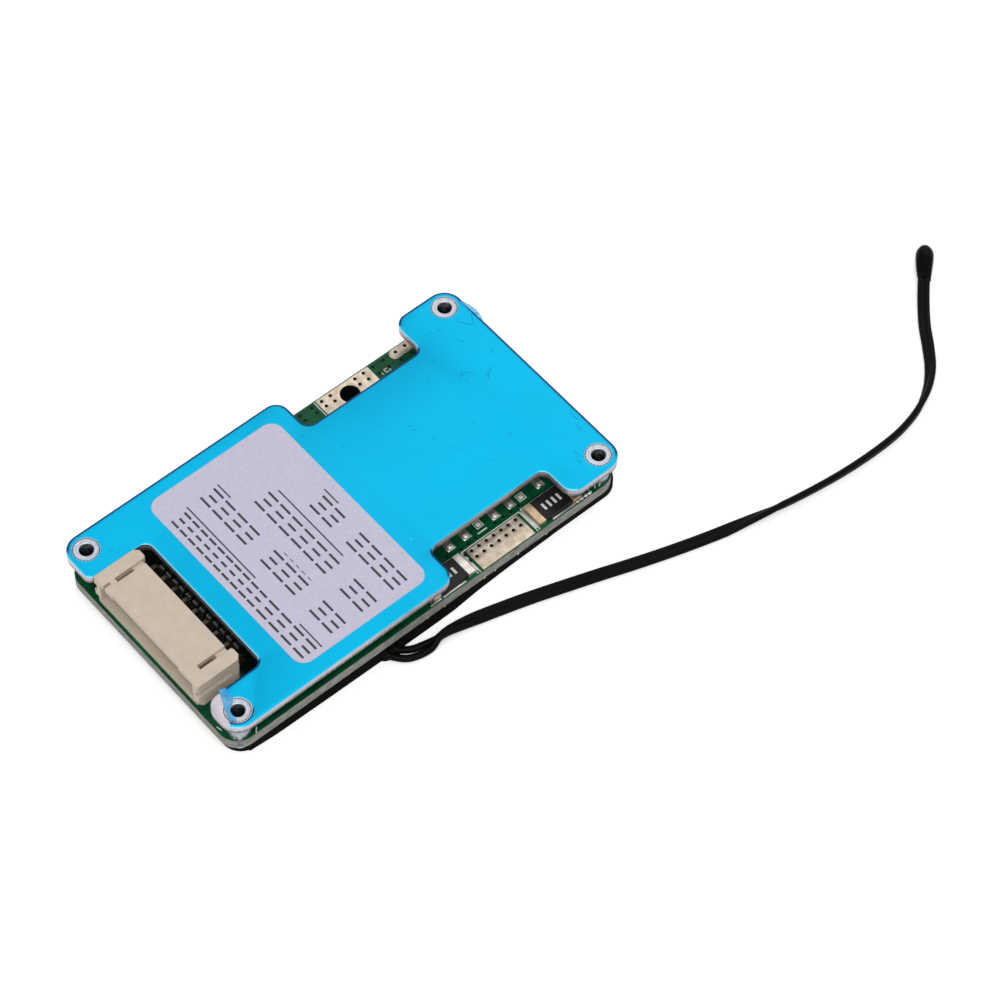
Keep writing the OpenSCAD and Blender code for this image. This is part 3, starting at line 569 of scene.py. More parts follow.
def slab(loops, profile, step=None, lift=None, at_holes=1.0):
    """A closed plate with these outlines. profile lists (inset, height) from the bottom rim to the top.
    Holes take only the at_holes share of the insets."""
    n = sum(len(loop) for loop in loops)

    def moved(depth):
        return [inset(loop, depth * (at_holes if k else 1.0)) for k, loop in enumerate(loops)]

    rings = []
    for depth, z in profile:
        ring = np.concatenate(moved(depth))
        heights = np.full(n, float(z)) + (lift(ring) if lift else 0)
        rings += [(*p, h) for p, h in zip(ring, heights)]
    follow, base = [], 0
    for loop in loops:
        follow += [base + (k + 1) % len(loop) for k in range(len(loop))]
        base += len(loop)
    faces = [[i * n + k, i * n + follow[k], (i + 1) * n + follow[k], (i + 1) * n + k]
             for i in range(len(profile) - 1) for k in range(n)]
    top, top_faces = filled(moved(profile[-1][0]), profile[-1][1], step, lift)
    bottom, bottom_faces = filled(moved(profile[0][0]), profile[0][1], step, lift)
    return joined([(rings, faces), (top, top_faces), (bottom, [f[::-1] for f in bottom_faces])])


def spline(points, step):
    """A smooth line through the points, with a new point about every step."""
    p = np.array(points, float)
    p = np.concatenate([[2 * p[0] - p[1]], p, [2 * p[-1] - p[-2]]])
    made = []
    for a, b, c, d in zip(p, p[1:], p[2:], p[3:]):
        count = max(2, round(float(np.linalg.norm(c - b)) / step))
        for t in np.arange(count) / count:
            made.append(0.5 * (2 * b + (c - a) * t + (2 * a - 5 * b + 4 * c - d) * t ** 2
                               + (3 * b - a - 3 * c + d) * t ** 3))
    return np.array(made + [p[-2]])


def swept(line, section):
    """A closed tube along the line. section(along) gives the outline there as (side, up) points."""
    ahead = np.gradient(line, axis=0)
    ahead /= np.linalg.norm(ahead, axis=1)[:, None]
    far = np.concatenate([[0], np.cumsum(np.linalg.norm(np.diff(line, axis=0), axis=1))])
    rings = []
    for centre, heading, along in zip(line, ahead, far):
        side = np.cross(heading, (0, 0, 1.0))
        side /= np.linalg.norm(side)
        up = np.cross(side, heading)
        rings.append([tuple(centre + side * s + up * u) for s, u in section(along)])
    return stacked(rings)


# ---- camera, floor and light ----

EYE = (-152.66, -201.27, 385.46)
RIGHT, DOWN, FORWARD = (0.7603, -0.6494, 0.0103), (-0.5358, -0.6362, -0.5551), (0.3671, 0.4165, -0.8317)
view = bpy.data.objects.new("camera", bpy.data.cameras.new("camera"))
view.data.sensor_width = 36
view.data.lens = 137.2
view.data.clip_end = 10
axes = Matrix([RIGHT, [-c for c in DOWN], [-c for c in FORWARD]]).transposed().to_4x4()
view.matrix_world = Matrix.Translation(Vector(EYE) * MM) @ axes
bpy.context.scene.collection.objects.link(view)
bpy.context.scene.camera = view

FLOOR = 2.0   # half the floor's width, in metres
floor_mesh = bpy.data.meshes.new("floor")
floor_mesh.from_pydata([(-FLOOR, -FLOOR, 0), (FLOOR, -FLOOR, 0), (FLOOR, FLOOR, 0), (-FLOOR, FLOOR, 0)],
                       [], [(0, 1, 2, 3)])
floor = bpy.data.objects.new("floor", floor_mesh)
floor.location.z = -0.00005
bpy.context.scene.collection.objects.link(floor)


def seen_directly(tree):
    """1 for rays from the camera, off polished metal or through clear film, else 0."""
    paths = add(tree, "ShaderNodeLightPath").outputs
    seen = paths["Is Camera Ray"]
    for ray in ("Is Glossy Ray", "Is Transmission Ray"):
        seen = add(tree, "ShaderNodeMath", {0: seen, 1: paths[ray]}, operation="MAXIMUM").outputs[0]
    return seen


def white_floor():
    """Matt white board: it keeps a soft shadow, and shows white where nothing shades it."""
    material, tree, _ = begin("matt_white_board")
    glow = add(tree, "ShaderNodeMapRange", {
        "Value": seen_directly(tree), "From Min": 0, "From Max": 1, "To Min": 0.0, "To Max": 0.32,
    })
    board = add(tree, "ShaderNodeBsdfPrincipled", {
        "Base Color": "#F4F4F4", "Roughness": 0.9, "Specular IOR Level": 0.1,
        "Emission Color": "#FFFFFF", "Emission Strength": glow,
    })
    add(tree, "ShaderNodeOutputMaterial", {"Surface": board})
    return material


floor_mesh.materials.append(white_floor())

world = bpy.data.worlds.new("studio")
bpy.context.scene.world = world
world.use_nodes = True
sky = world.node_tree
sky.nodes.clear()
strength = add(sky, "ShaderNodeMapRange", {
    "Value": seen_directly(sky), "From Min": 0, "From Max": 1, "To Min": 0.5, "To Max": 1.0,
})
add(sky, "ShaderNodeOutputWorld", {
    "Surface": add(sky, "ShaderNodeBackground", {"Color": "#FFFFFF", "Strength": strength}),
})


def softbox(name, place, size, power, aim=(0.01, -0.005, 0)):
    lamp = bpy.data.objects.new(name, bpy.data.lights.new(name, "AREA"))
    lamp.data.size = size
    lamp.data.energy = power
    lamp.location = place
    lamp.rotation_mode = "QUATERNION"
    lamp.rotation_quaternion = (Vector(aim) - Vector(place)).to_track_quat("-Z", "Y")
    bpy.context.scene.collection.objects.link(lamp)


softbox("key", (-0.30, -0.35, 0.75), 0.55, 4.0)
softbox("fill", (0.55, 0.25, 0.60), 0.60, 1.5)

bpy.context.scene.view_settings.view_transform = "Standard"


# ---- the sensor's lead and head: first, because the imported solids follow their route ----

# the two leads' routes from their joints under the board, and the twin's from where they meet
LEAD_START = -13.55
LEAD_A = [(-6.2, LEAD_START, 0.6), (-6.2, -15, 0.6), (-6.1, -16.3, 0.55), (-5.6, -17.1, 0.45),
          (-4.5, -17.9, 0.4), (-3.2, -18.3, 0.4), (-1.3, -18.525, 0.4)]
LEAD_B = [(-7.5, LEAD_START, 0.6), (-7.5, -15, 0.6), (-7.3, -16.4, 0.55), (-6.8, -17.4, 0.45),
          (-5.8, -18.5, 0.4), (-4.4, -19.1, 0.4), (-2.8, -19.3, 0.4), (-1.3, -19.275, 0.4)]
TWIN = [(-1.3, -18.9, 0.4), (0.6, -18.9, 0.4), (4, -19.5, 0.4), (8, -20.6, 0.4), (11, -21.5, 0.4),
        (14, -22.5, 0.4), (19, -24.2, 0.4), (23.5, -25.8, 0.4), (28, -27.3, 0.4), (33, -28.8, 0.4),
        (38, -30.1, 0.4), (43, -31.3, 0.4), (48.5, -32.2, 0.4), (53.5, -32.7, 0.4), (58.5, -32.8, 0.4),
        (62, -32.5, 0.4), (65.5, -31.6, 0.4), (68.6, -30, 0.4), (71, -28, 0.4), (73, -25.6, 0.4),
        (75, -22.9, 0.4), (77, -20.6, 0.55), (78.6, -18.9, 0.8), (79.8, -17.7, 0.95)]
LEAD_D = 0.93      # a single lead where the two part
LEAD_D_END = 0.8   # and each of the two in the twin, drawn thinner towards the head
DRAWN_OVER = 50    # the length over which it gets thinner
HALF_APART = 0.97  # how far each conductor's middle lies from the twin's, in radii: they are fused
RUN_ON = 0.9       # how far the twin runs on into the head
OFF_FLOOR = 0.01
# how far the twin lead is turned on its edge, in degrees, at distances along it in millimetres
TURNED = ((0, 65), (3, 25), (6, 0), (38, 0), (46, 70), (69, 84), (78, 20), (86, 0), (200, 0))


def turn_at(along):
    return math.radians(float(np.interp(along, *zip(*TURNED))))


def radius_at(along):
    return float(np.interp(along, [0, DRAWN_OVER], [LEAD_D, LEAD_D_END])) / 2


def twin_section(along):
    """Two fused conductors with a groove between them, turned as the lead lies."""
    r, n = radius_at(along), 9
    right = [(r * HALF_APART + r * math.cos(a), r * math.sin(a)) for a in np.linspace(-2.5, 2.5, n)]
    points = right + [(-s, -u) for s, u in right]
    c, s = math.cos(turn_at(along)), math.sin(turn_at(along))
    return [(x * c - y * s, x * s + y * c) for x, y in points]


def single_section(_):
    return circle(0, 0, LEAD_D / 2, 14)


twin_line = spline(TWIN, 0.55)
onward = twin_line[-1] - twin_line[-2]
twin_line = np.concatenate([twin_line, [twin_line[-1] + RUN_ON * onward / np.linalg.norm(onward)]])
run = np.concatenate([[0], np.cumsum(np.linalg.norm(np.diff(twin_line, axis=0), axis=1))])
for k, along in enumerate(run):
    # on its edge the lead stands taller, so that it still lies on the surface
    lifted = radius_at(along) * (1 + math.sin(turn_at(along))) + 2 * OFF_FLOOR
    twin_line[k][2] = max(twin_line[k][2], lifted)


def with_end(points, shift):
    """A single lead's line, run on a little way into the twin at its own side."""
    turn = turn_at(0)
    side, up = shift * math.cos(turn), -shift * math.sin(turn)
    end = twin_line[0] + np.array([0, side, up])
    line = spline(points[:-1] + [tuple(end), tuple(end + np.array([0.8, 0, 0]))], 0.35)
    line[:, 2] = np.maximum(line[:, 2], LEAD_D / 2 + OFF_FLOOR)
    return line


lead_a = with_end(LEAD_A, LEAD_D / 2 * HALF_APART)
lead_b = with_end(LEAD_B, -LEAD_D / 2 * HALF_APART)
sensor_lead = piece("sensor_twin_lead", *joined([
    swept(lead_a, single_section), swept(lead_b, single_section), swept(twin_line, twin_section),
]), jacket, "lead_jacket", smooth=60)
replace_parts(sensor_lead, "sensor_lead_a", "sensor_lead_b", "sensor_cord")


HEAD_R, HEAD_L = 1.15, 4.55
HEAD_AT = 0.6                  # where it starts, counted from the route's end
COLLAR = 0.5                   # how far the dip reaches back over the lead
COLLAR_W, COLLAR_H = 0.88, 0.5   # the collar's half-width and half-height
SWELLS_OVER = 3.2
DROP = 1.5 * HEAD_R            # the length over which it closes


def head_swell(s):
    """Half-width and half-height of the dipped head at s millimetres from its start."""
    grow = math.sin(min(1.0, max(0.0, (s + COLLAR) / SWELLS_OVER)) * math.pi / 2) ** 1.4
    closing = math.sqrt(max(0.0, 1 - max(0.0, (s - HEAD_L + DROP) / DROP) ** 2))
    wide = COLLAR_W + (HEAD_R - COLLAR_W) * grow
    tall = COLLAR_H + (HEAD_R - 0.05 - COLLAR_H) * grow
    return wide * closing, tall * closing


def sensor_head():
    """The dipped head: it swells round the sensor, closes in a drop, and ends on the lead in a slanted
    edge. Shallow folds run over it, as the dip set."""
    heading = twin_line[-1] - twin_line[-3]
    heading = np.array([heading[0], heading[1], 0]) / np.linalg.norm(heading[:2])
    start = twin_line[-1] + heading * (HEAD_AT - RUN_ON)
    side = np.cross(heading, (0, 0, 1.0))
    draw = random.Random(5)
    folds = [(draw.uniform(0.3, 1.1), draw.uniform(0, 6.3), draw.randint(3, 7), draw.uniform(0, 6.3))
             for _ in range(6)]
    tip = 1.2      # the last stretch, where the rings lie closer
    steps = np.concatenate([[-0.42, -COLLAR, -0.36], np.linspace(-0.1, HEAD_L - tip, 22),
                            HEAD_L - tip + tip * np.sin(np.linspace(0.12, 1.53, 10))])
    rings = []
    for k, s in enumerate(steps):
        wide, tall = head_swell(s) if k else (0.6, 0.3)
        height = np.interp(s, [-COLLAR, 0.6, 2.4], [0.9, 0.98, HEAD_R])
        past_collar = min(1.0, (s + COLLAR) / 1.5)
        ring = []
        for a in np.linspace(0, 2 * math.pi, 36, endpoint=False):
            fold = 0.011 * past_collar * sum(math.sin(f * s + p + 0.4 * math.sin(a)) * math.sin(m * a + q)
                                             for f, p, m, q in folds)
            slant = -0.3 * math.cos(a) * (1 - past_collar)
            ring.append(tuple(start + heading * (s + slant) + side * math.cos(a) * wide * (1 + fold)
                              + np.array([0, 0, height - start[2] + math.sin(a) * tall * (1 + fold)])))
        rings.append(ring)
    return stacked(rings)


head = piece("sensor_head", *sensor_head(), dip, "bead_resin", smooth=60)
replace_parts(head, "sensor_bead")

# ---- heat plate, film and label ----

ROLL = 0.26    # how far in from its edges the punch drew the plate down
plate = piece("punched_heat_plate", *slab(outlines("heat_plate", PLATE_TOP), [
    (0.04, PLATE_BOTTOM), (0, PLATE_BOTTOM + 0.04), (0, PLATE_TOP - 0.14),
    (0.09, PLATE_TOP - 0.055), (ROLL, PLATE_TOP),
], at_holes=0.2), aluminium, "aluminium")
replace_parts(plate, "heat_plate")

draw = random.Random(11)
film_rims = outlines("protective_film", FILM_TOP)
sheet = slab(film_rims, [
    (ROLL + 0.02, PLATE_TOP + 0.003), (0.09, PLATE_TOP - 0.05), (0.0, PLATE_TOP - 0.14),
    (-0.03, PLATE_TOP - 0.09), (0.08, PLATE_TOP + 0.005), (ROLL + 0.06, FILM_TOP),
], at_holes=0.15)
specks = [blob(draw.uniform(-29, 29), draw.uniform(-15, 15), draw.uniform(0.05, 0.16),
               draw.uniform(0.05, 0.12), FILM_TOP - 0.005, 0.02, n=8, rings=2) for _ in range(60)]
middles = np.array([points[-1][:2] for points, _ in specks])
keep = inside(middles, [inset(loop, 0.4) for loop in film_rims])
specks = [speck for speck, ok in zip(specks, keep) if ok]
film_piece = piece("protective_film_sheet", *joined([sheet] + specks), film, "film")
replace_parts(film_piece, "protective_film")

# wrinkles and pinched dots where the film let go of the metal: (x, y, turn in degrees, length, bow)
WRINKLES = [
    (29.3, 11.0, 58, 2.4, 0.05), (28.0, 11.0, 120, 2.2, 0.05), (25.4, 3.6, 200, 1.9, 0.25),
    (25.0, 2.9, 245, 0.9, 0.1), (23.2, 4.9, 160, 1.6, -0.2), (22.5, 5.3, 215, 1.0, 0.2),
    (27.8, 5.6, 190, 0.8, 0.1), (13.0, 3.4, 140, 0.5, 0), (13.2, 2.7, 165, 0.7, 0.1),
    (14.1, 0.2, 150, 0.9, 0.15), (15.1, -2.6, 120, 0.5, 0), (10.4, 5.8, 200, 0.4, 0.1),
    (24.9, 12.2, 100, 0.9, 0.1), (23.9, 12.6, 80, 0.5, 0), (23.6, 11.4, 110, 0.4, 0),
    (26.1, 9.2, 130, 1.1, 0.2), (21.2, 8.8, 175, 0.7, -0.1), (18.7, 6.9, 205, 0.5, 0),
    (29.2, -8.3, 92, 1.6, 0.1), (28.5, -9.9, 88, 1.2, 0.05), (25.9, -12.7, 97, 1.5, 0.1),
    (25.2, -13.6, 93, 1.0, 0), (26.6, -14.6, 80, 1.3, 0.1), (28.2, -15.6, 60, 0.6, 0),
    (29.7, -3.2, 95, 0.9, 0), (21.6, -5.2, 135, 0.6, 0.1), (17.2, -6.6, 150, 0.4, 0),
    (19.0, -1.2, 210, 0.5, 0.1), (2.2, 10.8, 170, 0.6, 0.1), (5.0, 6.3, 200, 0.4, 0),
    (-26.2, 9.0, 120, 1.0, 0.1), (-25.4, 12.4, 150, 0.7, 0), (-26.5, -3.5, 95, 1.2, 0.1),
    (-24.6, -8.8, 110, 0.6, 0),
]


def wrinkle(x, y, turn, length, bow):
    """A narrow low ridge along a bowed line, drawn fine at both ends."""
    c, s = math.cos(math.radians(turn)), math.sin(math.radians(turn))
    share = np.linspace(-1, 1, 9)
    ahead, side = share * length / 2, bow * (1 - share ** 2)
    line = np.stack([x + ahead * c - side * s, y + ahead * s + side * c, np.full(9, FILM_TOP)], 1)

    def ridge(along):
        half = 0.01 + 0.05 * math.sin(math.pi * min(1, along / length)) ** 0.5
        return [(half * w, u) for w, u in ((-1, -0.01), (-0.5, 0.018), (0.5, 0.018), (1, -0.01))]

    return swept(line, ridge)


on_film = inside(np.array([mark[:2] for mark in WRINKLES]), [inset(loop, 0.5) for loop in film_rims])
piece("film_wrinkles", *joined([wrinkle(*mark) for mark, ok in zip(WRINKLES, on_film) if ok]),
      crease_shade_film, "film")

# a tab of film that the punch left standing past the edge, with the fold that holds it
TAB = [(FILM_RIGHT + dx, y) for dx, y in (
    (-0.5, 14.1), (0.0, 13.4), (0.24, 12.6), (0.34, 11.7), (0.3, 10.8), (0.1, 10.1), (-0.12, 9.7),
    (-0.2, 10.4), (-0.16, 11.7), (-0.3, 13.0))]


def rise(points):
    """Height gained by the tab towards its free edge."""
    return 0.12 * np.clip((points[:, 0] - FILM_RIGHT + 0.6) / 0.9, 0, 1)


piece("standing_film_tab", *slab([TAB], [(0, FILM_TOP + 0.01), (0, FILM_TOP + 0.04)], 0.3, rise),
      loose_film, "film")

# the torn corner of the film still lies over the standoff's head and curls up at its free edge
FLAP = [(-27.6, -10.9), (-28.05, -11.9), (-28.5, -12.95), (-28.85, -13.9), (-29.25, -15.05), (-28.75, -15.55),
        (-28.45, -15.3), (-28.55, -14.75), (-28.45, -14.1), (-28.1, -13.7), (-27.7, -13.45), (-27.15, -13.0),
        (-26.9, -12.6), (-26.9, -11.2)]


def curl(points):
    """Height gained towards the flap's free left edge."""
    far = np.clip((-27.9 - 0.36 * (points[:, 1] + 12) - points[:, 0]) / 0.9, 0, 1)
    return 0.16 * far ** 2


piece("torn_film_flap", *slab([FLAP], [(0, PLATE_TOP + 0.02), (0, FILM_TOP + 0.01)], 0.16, curl),
      loose_film, "film")

label = piece("label_sheet", *slab(outlines("label", LABEL_TOP), [
    (0, FILM_TOP), (0, LABEL_TOP - 0.03), (0.03, LABEL_TOP),
]), paper, "label_paper")
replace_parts(label, "label")


INK_Z = (LABEL_TOP - 0.01, LABEL_TOP + 0.012)


def greeked_row(x0, x1, y0, pitch, count, gaps):
    """A printed row as plain bars: each place in it is three short thin strips, with gaps between words."""
    bars = []
    for k in range(count):
        if k in gaps:
            continue
        for level in (0.06, 0.46, 0.86):
            near = x0 + (x1 - x0) * level
            reach = 0.8 if level != 0.46 else 0.62
            bars.append(block(near, near + 0.3, y0 + pitch * k, y0 + pitch * (k + reach), *INK_Z))
    return bars


# rows of print: from x to x, where the first place starts, its pitch, how many, and the gaps
ROWS = [(-17.8, -15.4, -13.9, 2.3, 4, ()), (-17.8, -15.4, -4.7, 1.6, 10, ()),
        (-13.1, -10.6, -13.4, 2.3, 11, (2, 6)), (-8.5, -5.9, -13.4, 2.3, 9, (2,)),
        (-3.8, -1.3, -13.4, 2.3, 7, (4,))]
# the rules between them: x, and from y to y
RULES = [(-14.9, -14.1, -10.0), (-14.9, -1.7, 11.4), (-10.1, 9.1, 11.6), (-5.05, -5.9, 6.3),
         (-0.76, 0.2, 2.9)]
greeked = [bar for row in ROWS for bar in greeked_row(*row)]
greeked += [block(x - 0.09, x + 0.09, y0, y1, *INK_Z) for x, y0, y1 in RULES]
greeked += [block(-10.15, -10.05, y, y + 0.7, *INK_Z) for y in (-6.2, -5.1, -4, -2.9, -1.8)]
piece("label_print", *joined(greeked), ink, "label_paper")

# ---- standoffs: knurled head, chamfered mouth, M2 thread all the way through ----

BORE_R, THREAD_PITCH, THREAD_DEPTH = 0.8, 0.4, 0.17
TEETH, NOTCH = 24, 0.09


def standoff():
    """The turned outside from the bottom up, then the threaded bore from the top down."""
    bottom, n = low("standoff_front_left").z, 3 * TEETH
    outer = [(BORE_R + THREAD_DEPTH, bottom), (1.44, bottom), (1.5, bottom + 0.06), (1.5, BOARD_BOTTOM),
             (1.1, BOARD_BOTTOM), (1.1, BOARD_TOP), (1.4, BOARD_TOP), (1.4, PLATE_BOTTOM),
             (1.59, PLATE_BOTTOM), (1.59, PLATE_TOP - 0.05), (1.55, PLATE_TOP), (1.3, PLATE_TOP),
             (1.27, PLATE_TOP - 0.015), (1.23, PLATE_TOP), (1.0, PLATE_TOP)]
    turns = np.linspace(0, 2 * np.pi, n, endpoint=False)
    knurl = NOTCH * (np.arange(n) % 3 == 0)
    rings = []
    for r, z in outer:
        cut = knurl if r > 1.4 and z >= PLATE_BOTTOM else np.zeros(n)
        rings.append([((r - d) * math.cos(a), (r - d) * math.sin(a), z) for a, d in zip(turns, cut)])
    for z in np.arange(PLATE_TOP - 0.02, bottom + 0.01, -THREAD_PITCH / 6):
        phase = (z / THREAD_PITCH - turns / (2 * np.pi)) % 1
        mouth = max(0.0, THREAD_DEPTH - min(PLATE_TOP - z, z - bottom))
        r = BORE_R + np.maximum(THREAD_DEPTH * (1 - np.abs(2 * phase - 1)), mouth)
        rings.append([(q * math.cos(a), q * math.sin(a), z) for q, a in zip(r, turns)])
    rings.append(rings[0])
    return stacked(rings, closed=False)


def finish_bore(made):
    """Painted shade in the bore: the faces inside it get a darker, glossier steel."""
    made.data.materials.append(bore_shade_steel)
    for polygon in made.data.polygons:
        if math.hypot(*polygon.center[:2]) < 1.03 * MM and polygon.center.z < (PLATE_TOP - 0.1) * MM:
            polygon.material_index = 1


for depth, sy in (("front", -1), ("back", 1)):
    for side, sx in (("left", -1), ("right", 1)):
        made = piece(f"threaded_standoff_{depth}_{side}", *standoff(), steel, "standoff_steel", smooth=30,
                     at=(sx * HOLE_X, sy * HOLE_Y, 0))
        finish_bore(made)
        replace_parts(made, f"standoff_{depth}_{side}")

# ---- pads with their vias ----

VIA_R = 0.24
SUNK = 0.01        # how far what lies on the board is let into it
PAD_VIAS = {
    "front_pad": [(12.3 + 1.15 * k, y) for k in range(-3, 4) for y in (-13.0, -14.0)],
    "back_pad": [(8.87, 15.5), (10.25, 15.5), (8.9, 14.6), (10.2, 14.5), (14.15, 15.5), (15.5, 15.5),
                 (14.15, 14.5), (15.45, 14.4)],
    "charge_pad": [(20.6, 15.45), (22.1, 15.45)],
}
barrels = []
for node, vias in PAD_VIAS.items():
    draw = random.Random(node)
    waves = [(draw.uniform(0.8, 2.2), draw.uniform(0.8, 2.2), draw.uniform(0, 6)) for _ in range(5)]

    def lumps(points):
        """The slightly uneven skin of the tin."""
        return sum(0.006 * (1 + np.sin(a * points[:, 0] + b * points[:, 1] + c)) for a, b, c in waves)

    rims = outlines(node, PAD_TOP) + [circle(x, y, VIA_R, 12)[::-1] for x, y in vias]
    profile = [(0, BOARD_TOP - SUNK), (0, PAD_TOP - 0.03), (0.05, PAD_TOP - 0.01)]
    made = piece(f"tinned_{node}", *slab(rims, profile, 0.45, lumps), tin, "solder", smooth=50)
    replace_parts(made, node)
    barrels += [disc(x, y, VIA_R + 0.02, BOARD_TOP - 0.02, BOARD_TOP + 0.012, 12) for x, y in vias]
FREE_VIAS = [(5.5, 15.5), (7.35, 15.5), (5.6, 14.6), (7.4, 14.6), (17.0, 15.5), (18.65, 15.5), (17.0, 14.26),
             (18.6, 14.26), (20.4, 14.1), (22.1, 14.1), (8.0, -12.1), (9.2, -12.0), (10.4, -11.9),
             (13.6, -11.8), (14.9, -11.8), (16.1, -11.8), (7.9, -13.0), (7.9, -14.0), (6.0, -11.7),
             (4.7, -11.7), (17.4, -11.7)]
barrels += [disc(x, y, 0.21, BOARD_TOP - 0.02, BOARD_TOP + 0.04, 12) for x, y in FREE_VIAS]
piece("via_barrels", *joined(barrels), barrel, "board")
piece("via_rims", *joined([washer(x, y, 0.18, 0.3, BOARD_TOP - 0.02, BOARD_TOP + 0.03, 14)
                           for x, y in FREE_VIAS]), laminate, "board")

# ---- white legend on the board: frames, bars and slashes only ----

LEGEND_Z = (BOARD_TOP - SUNK, BOARD_TOP + 0.02)


def frame_of(x0, x1, y0, y1, w=0.13):
    return [block(x0, x1, y0, y0 + w, *LEGEND_Z), block(x0, x1, y1 - w, y1, *LEGEND_Z),
            block(x0, x0 + w, y0 + w, y1 - w, *LEGEND_Z), block(x1 - w, x1, y0 + w, y1 - w, *LEGEND_Z)]


def slash(x, y, turn, length, w=0.14):
    c, s = math.cos(math.radians(turn)), math.sin(math.radians(turn))
    corners = [(x + a * c - b * s, y + a * s + b * c) for a, b in
               ((-length / 2, -w / 2), (length / 2, -w / 2), (length / 2, w / 2), (-length / 2, w / 2))]
    return stacked([[(*p, z) for p in corners] for z in LEGEND_Z])


BARS = [(7.72, 7.85, -16.0, -12.35), (16.75, 16.88, -16.0, -12.35), (7.85, 16.75, -12.48, -12.35),
        (17.12, 17.25, -15.95, -12.2), (17.25, 23.9, -12.33, -12.2), (7.35, 7.48, -15.95, -12.2),
        (0.6, 7.35, -12.33, -12.2), (11.0, 12.4, -11.75, -11.55), (16.22, 16.5, 12.6, 15.95),
        (7.98, 8.1, 12.6, 15.95)]
SLASHES = [(17.3, 13.95, 100, 0.5, 0.1), (26.4, -15.3, 60, 1.0), (27.2, -15.6, 20, 1.1),
           (-28.9, -14.9, 100, 0.7), (-26.2, -15.8, 50, 0.8), (-29.4, -12.9, 100, 0.8),
           (25.2, -15.8, 60, 0.7), (-27.0, -15.3, 20, 0.6), (-27.4, 15.3, 40, 0.8)]
FRAMES = [(11.35, 12.45, -11.15, -10.05), (17.85, 18.95, -11.45, -10.35), (17.75, 18.55, 13.75, 14.35, 0.1)]
legends = [block(*bar, *LEGEND_Z) for bar in BARS] + [slash(*mark) for mark in SLASHES]
for box in FRAMES:
    legends += frame_of(*box)
piece("board_legend", *joined(legends), silkscreen, "board")

# ---- solder: lead tips, square test pads, shunt ends, edge strips and the pins' joints ----

TESTS = [(11.9, -10.6), (18.4, -10.9)]
piece("test_pads", *joined(
    [block(x - 0.3, x + 0.3, y - 0.3, y + 0.3, BOARD_TOP - SUNK, BOARD_TOP + 0.06, 0.03) for x, y in TESTS]
    + [blob(x, y, 0.2, 0.2, BOARD_TOP + 0.05, 0.05) for x, y in TESTS]), test_pad_highlight, "solder", smooth=50)

TAIL_X = high("socket_pins").x - 0.25
TAIL_Y = [low("socket_pins").y + 0.25 + 2 * k for k in range(9)]
piece("pin_joint_rings", *joined([washer(TAIL_X, y, 0.3, 0.62, BOARD_TOP - SUNK, BOARD_TOP + 0.06)
                                  for y in TAIL_Y]), shaded_joint_tin, "solder")

TIP_X = [middle_x + side * 2.286 for middle_x in (4.9, 11.95, 19.0) for side in (-1, 1)]
TIP_Y = -low("transistor_front_1").y
joints = []
for x in TIP_X:
    for way in (-1, 1):
        y = way * TIP_Y
        near, far = sorted((y - way * 0.8, y + way * 0.55))
        joints += [block(x - 0.6, x + 0.6, near, far, BOARD_TOP - SUNK, BOARD_TOP + 0.09, 0.03),
                   blob(x, y + way * 0.1, 0.5, 0.42, BOARD_TOP + 0.05, 0.36)]
joints += [block(x0, x1, -15.98, -15.68, BOARD_TOP - SUNK, BOARD_TOP + 0.1, 0.04)
           for x0, x1 in ((0.1, 1.8), (2.0, 5.6), (19.3, 22.9))]
joints += [blob(x, -15.8, 0.34, 0.24, BOARD_TOP - SUNK, 0.2) for x in (23.3, 23.9, 24.6, 25.2)]
piece("reflowed_solder_joints", *joined(joints), bright_tin, "solder", smooth=50)

# ---- below and beside the board: painted shade along the front edge and where the leads leave, panel stubs, and painted shade in the pad's hole ----

# painted shade: a black strip of foam along the front edge stands for the shade under the board; how far it
# stands out at places along the edge, widest by the lead
SHADE_STRIP = [(-27.6, 0.05), (-24, 0.3), (-16, 0.42), (-7.55, 0.5), (-5.3, 0.6), (-2, 0.62), (3, 0.6), (7, 0.3),
         (12, 0.12), (19, 0.03)]
LEAD_GAP = 4     # the lead leaves between the stations before this one and those from it on


def shade_strip(stations):
    back, top = BOARD_FRONT + 0.4, BOARD_BOTTOM - 0.06
    return stacked([[(x, back, 0.02), (x, BOARD_FRONT - out, 0.02), (x, BOARD_FRONT - out, 0.12),
                     (x, BOARD_FRONT - 0.15 * out, top), (x, back, top)] for x, out in stations])


piece("painted_shade_strip", *joined([shade_strip(SHADE_STRIP[:LEAD_GAP]), shade_strip(SHADE_STRIP[LEAD_GAP:])]), foam, "foam", smooth=60)
# painted shade: a black dab fills the gap where the leads leave and stands for the shade there
piece("lead_exit_shade", *joined([
    block(-8.12, -4.93, BOARD_FRONT - 0.04, BOARD_FRONT + 0.35, 0.02, BOARD_BOTTOM - 0.01, 0.05),
    blob(-6.3, BOARD_FRONT - 0.1, 2.0, 1.1, 0.02, 0.95),
]), dip, "foam", smooth=60)

# stubs left where the board was broken out of its panel
piece("panel_stubs", *joined([
    block(x - 0.11, x + 0.11, BOARD_FRONT - 0.05, BOARD_FRONT + 0.05,
          BOARD_BOTTOM - 0.1, BOARD_BOTTOM + 0.3, 0.04)
    for x in (-0.6, 2.0, 8.2, 9.9, 13.5, 18.0)]), tin, "board")

# painted shade in the back pad's plated hole: a dark lining on its wall, and a black disc of foam below that
# closes it
PAD_HOLE, PAD_HOLE_R = (12.3, 14.15), 1.3
piece("pad_hole_shade_lining", *washer(*PAD_HOLE, PAD_HOLE_R - 0.06, PAD_HOLE_R, BOARD_BOTTOM, PAD_TOP - 0.02, 32),
      barrel, "board")
piece("shade_plug_below_pad_hole", *disc(*PAD_HOLE, PAD_HOLE_R + 0.3, BOARD_BOTTOM - 0.3, BOARD_BOTTOM - 0.02, 32),
      foam, "foam")

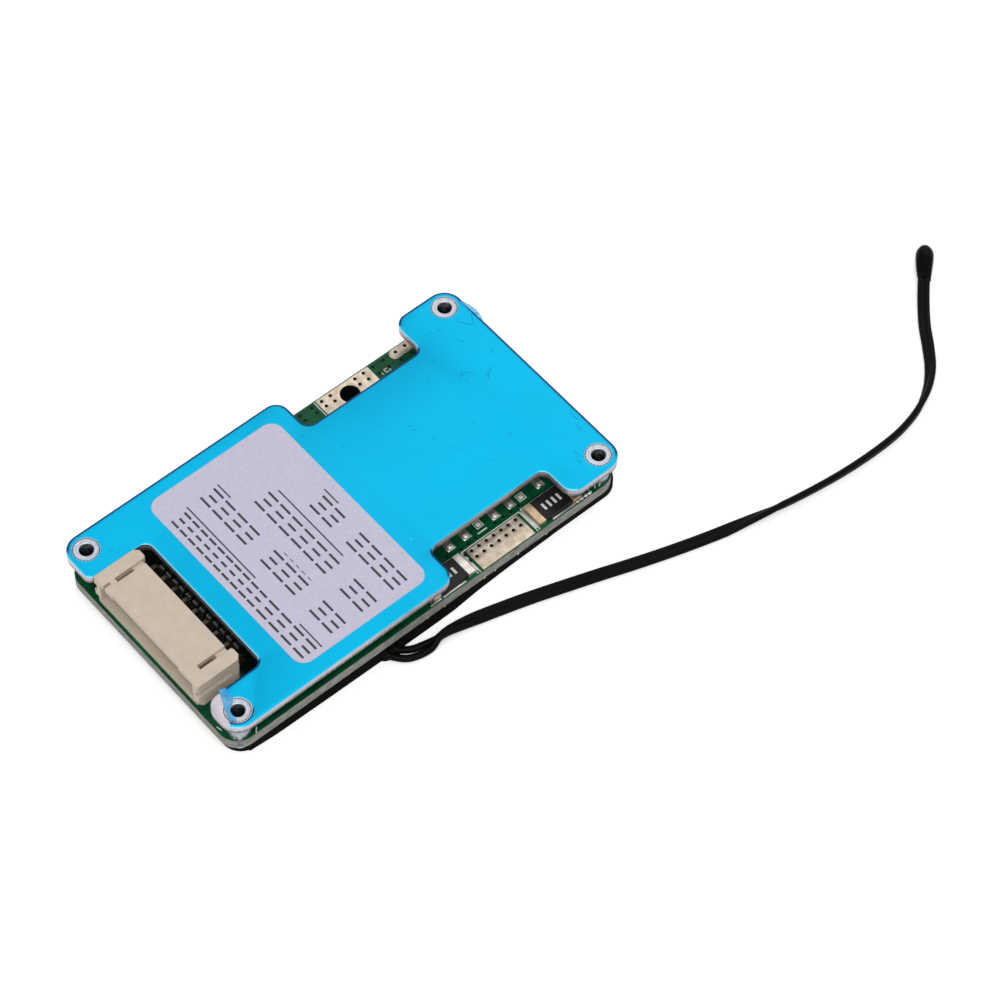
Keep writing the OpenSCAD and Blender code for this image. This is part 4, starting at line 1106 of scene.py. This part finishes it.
# ---- shunts: coated body, plated ends, solder fillets and plain bars of print ----

END_L = 1.05     # how far the plated ends reach over the body
for side, end_metal in (("left", tinned_end), ("right", copper_end)):
    node = f"shunt_{side}"
    (x0, y0, _), (x1, y1, z1) = (tuple(corner / MM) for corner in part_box(node))
    body = block(x0 + 0.9, x1 - 0.9, y0 + 0.04, y1 - 0.04, BOARD_TOP, z1 - 0.03, 0.05)
    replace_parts(piece(f"coated_{node}", *body, glaze, "shunt_body"), node)
    ends = [block(a, b, y0, y1, BOARD_TOP, z1, 0.05) for a, b in ((x0, x0 + END_L), (x1 - END_L, x1))]
    piece(f"plated_ends_{side}", *joined(ends), end_metal, "shunt_body")
    fillets = []
    for edge, way in ((x0, -1), (x1, 1)):
        wedge = [(0, 0.42), (0.12, 0.22), (0.3, 0.09), (0.5, 0.03), (0.5, 0), (0, 0)]
        fillets.append(stacked([[(edge + way * a, y, BOARD_TOP + h) for a, h in wedge]
                                for y in (y0 + 0.1, y0 + 0.5, y1 - 0.5, y1 - 0.1)]))
    piece(f"shunt_fillets_{side}", *joined(fillets), bright_tin, "solder", smooth=60)
    mid_x, mid_y = (x0 + x1) / 2, (y0 + y1) / 2
    marks = [block(x - 0.16, x + 0.16, mid_y - 0.5, mid_y + 0.5, z1 - 0.04, z1 - 0.01)
             for x in np.linspace(mid_x - 1.15, mid_x + 1.15, 4)]
    piece(f"shunt_mark_{side}", *joined(marks), silkscreen, "shunt_body")

# ---- materials of the CAD nodes that show as they are ----

FINISHES = {
    "circuit_board": laminate, "socket_housing": nylon, "socket_pins": shaded_pin_tin, "pin_solder": bright_tin,
    "thermal_pad": silicone, "filter_resistors": resistor_finish, "insulating_pad": foam,
    "control_chip": resin, "balance_transistors": resin, "balance_resistors": resin,
    "cell_capacitors": ceramic, "lead_solder": bright_tin,
    **{f"transistor_{row}_{k}": transistor_finish for row in ("front", "back") for k in (1, 2, 3)},
}
for node, finish in FINISHES.items():
    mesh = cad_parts[node].data
    mesh.materials.clear()
    mesh.materials.append(finish)
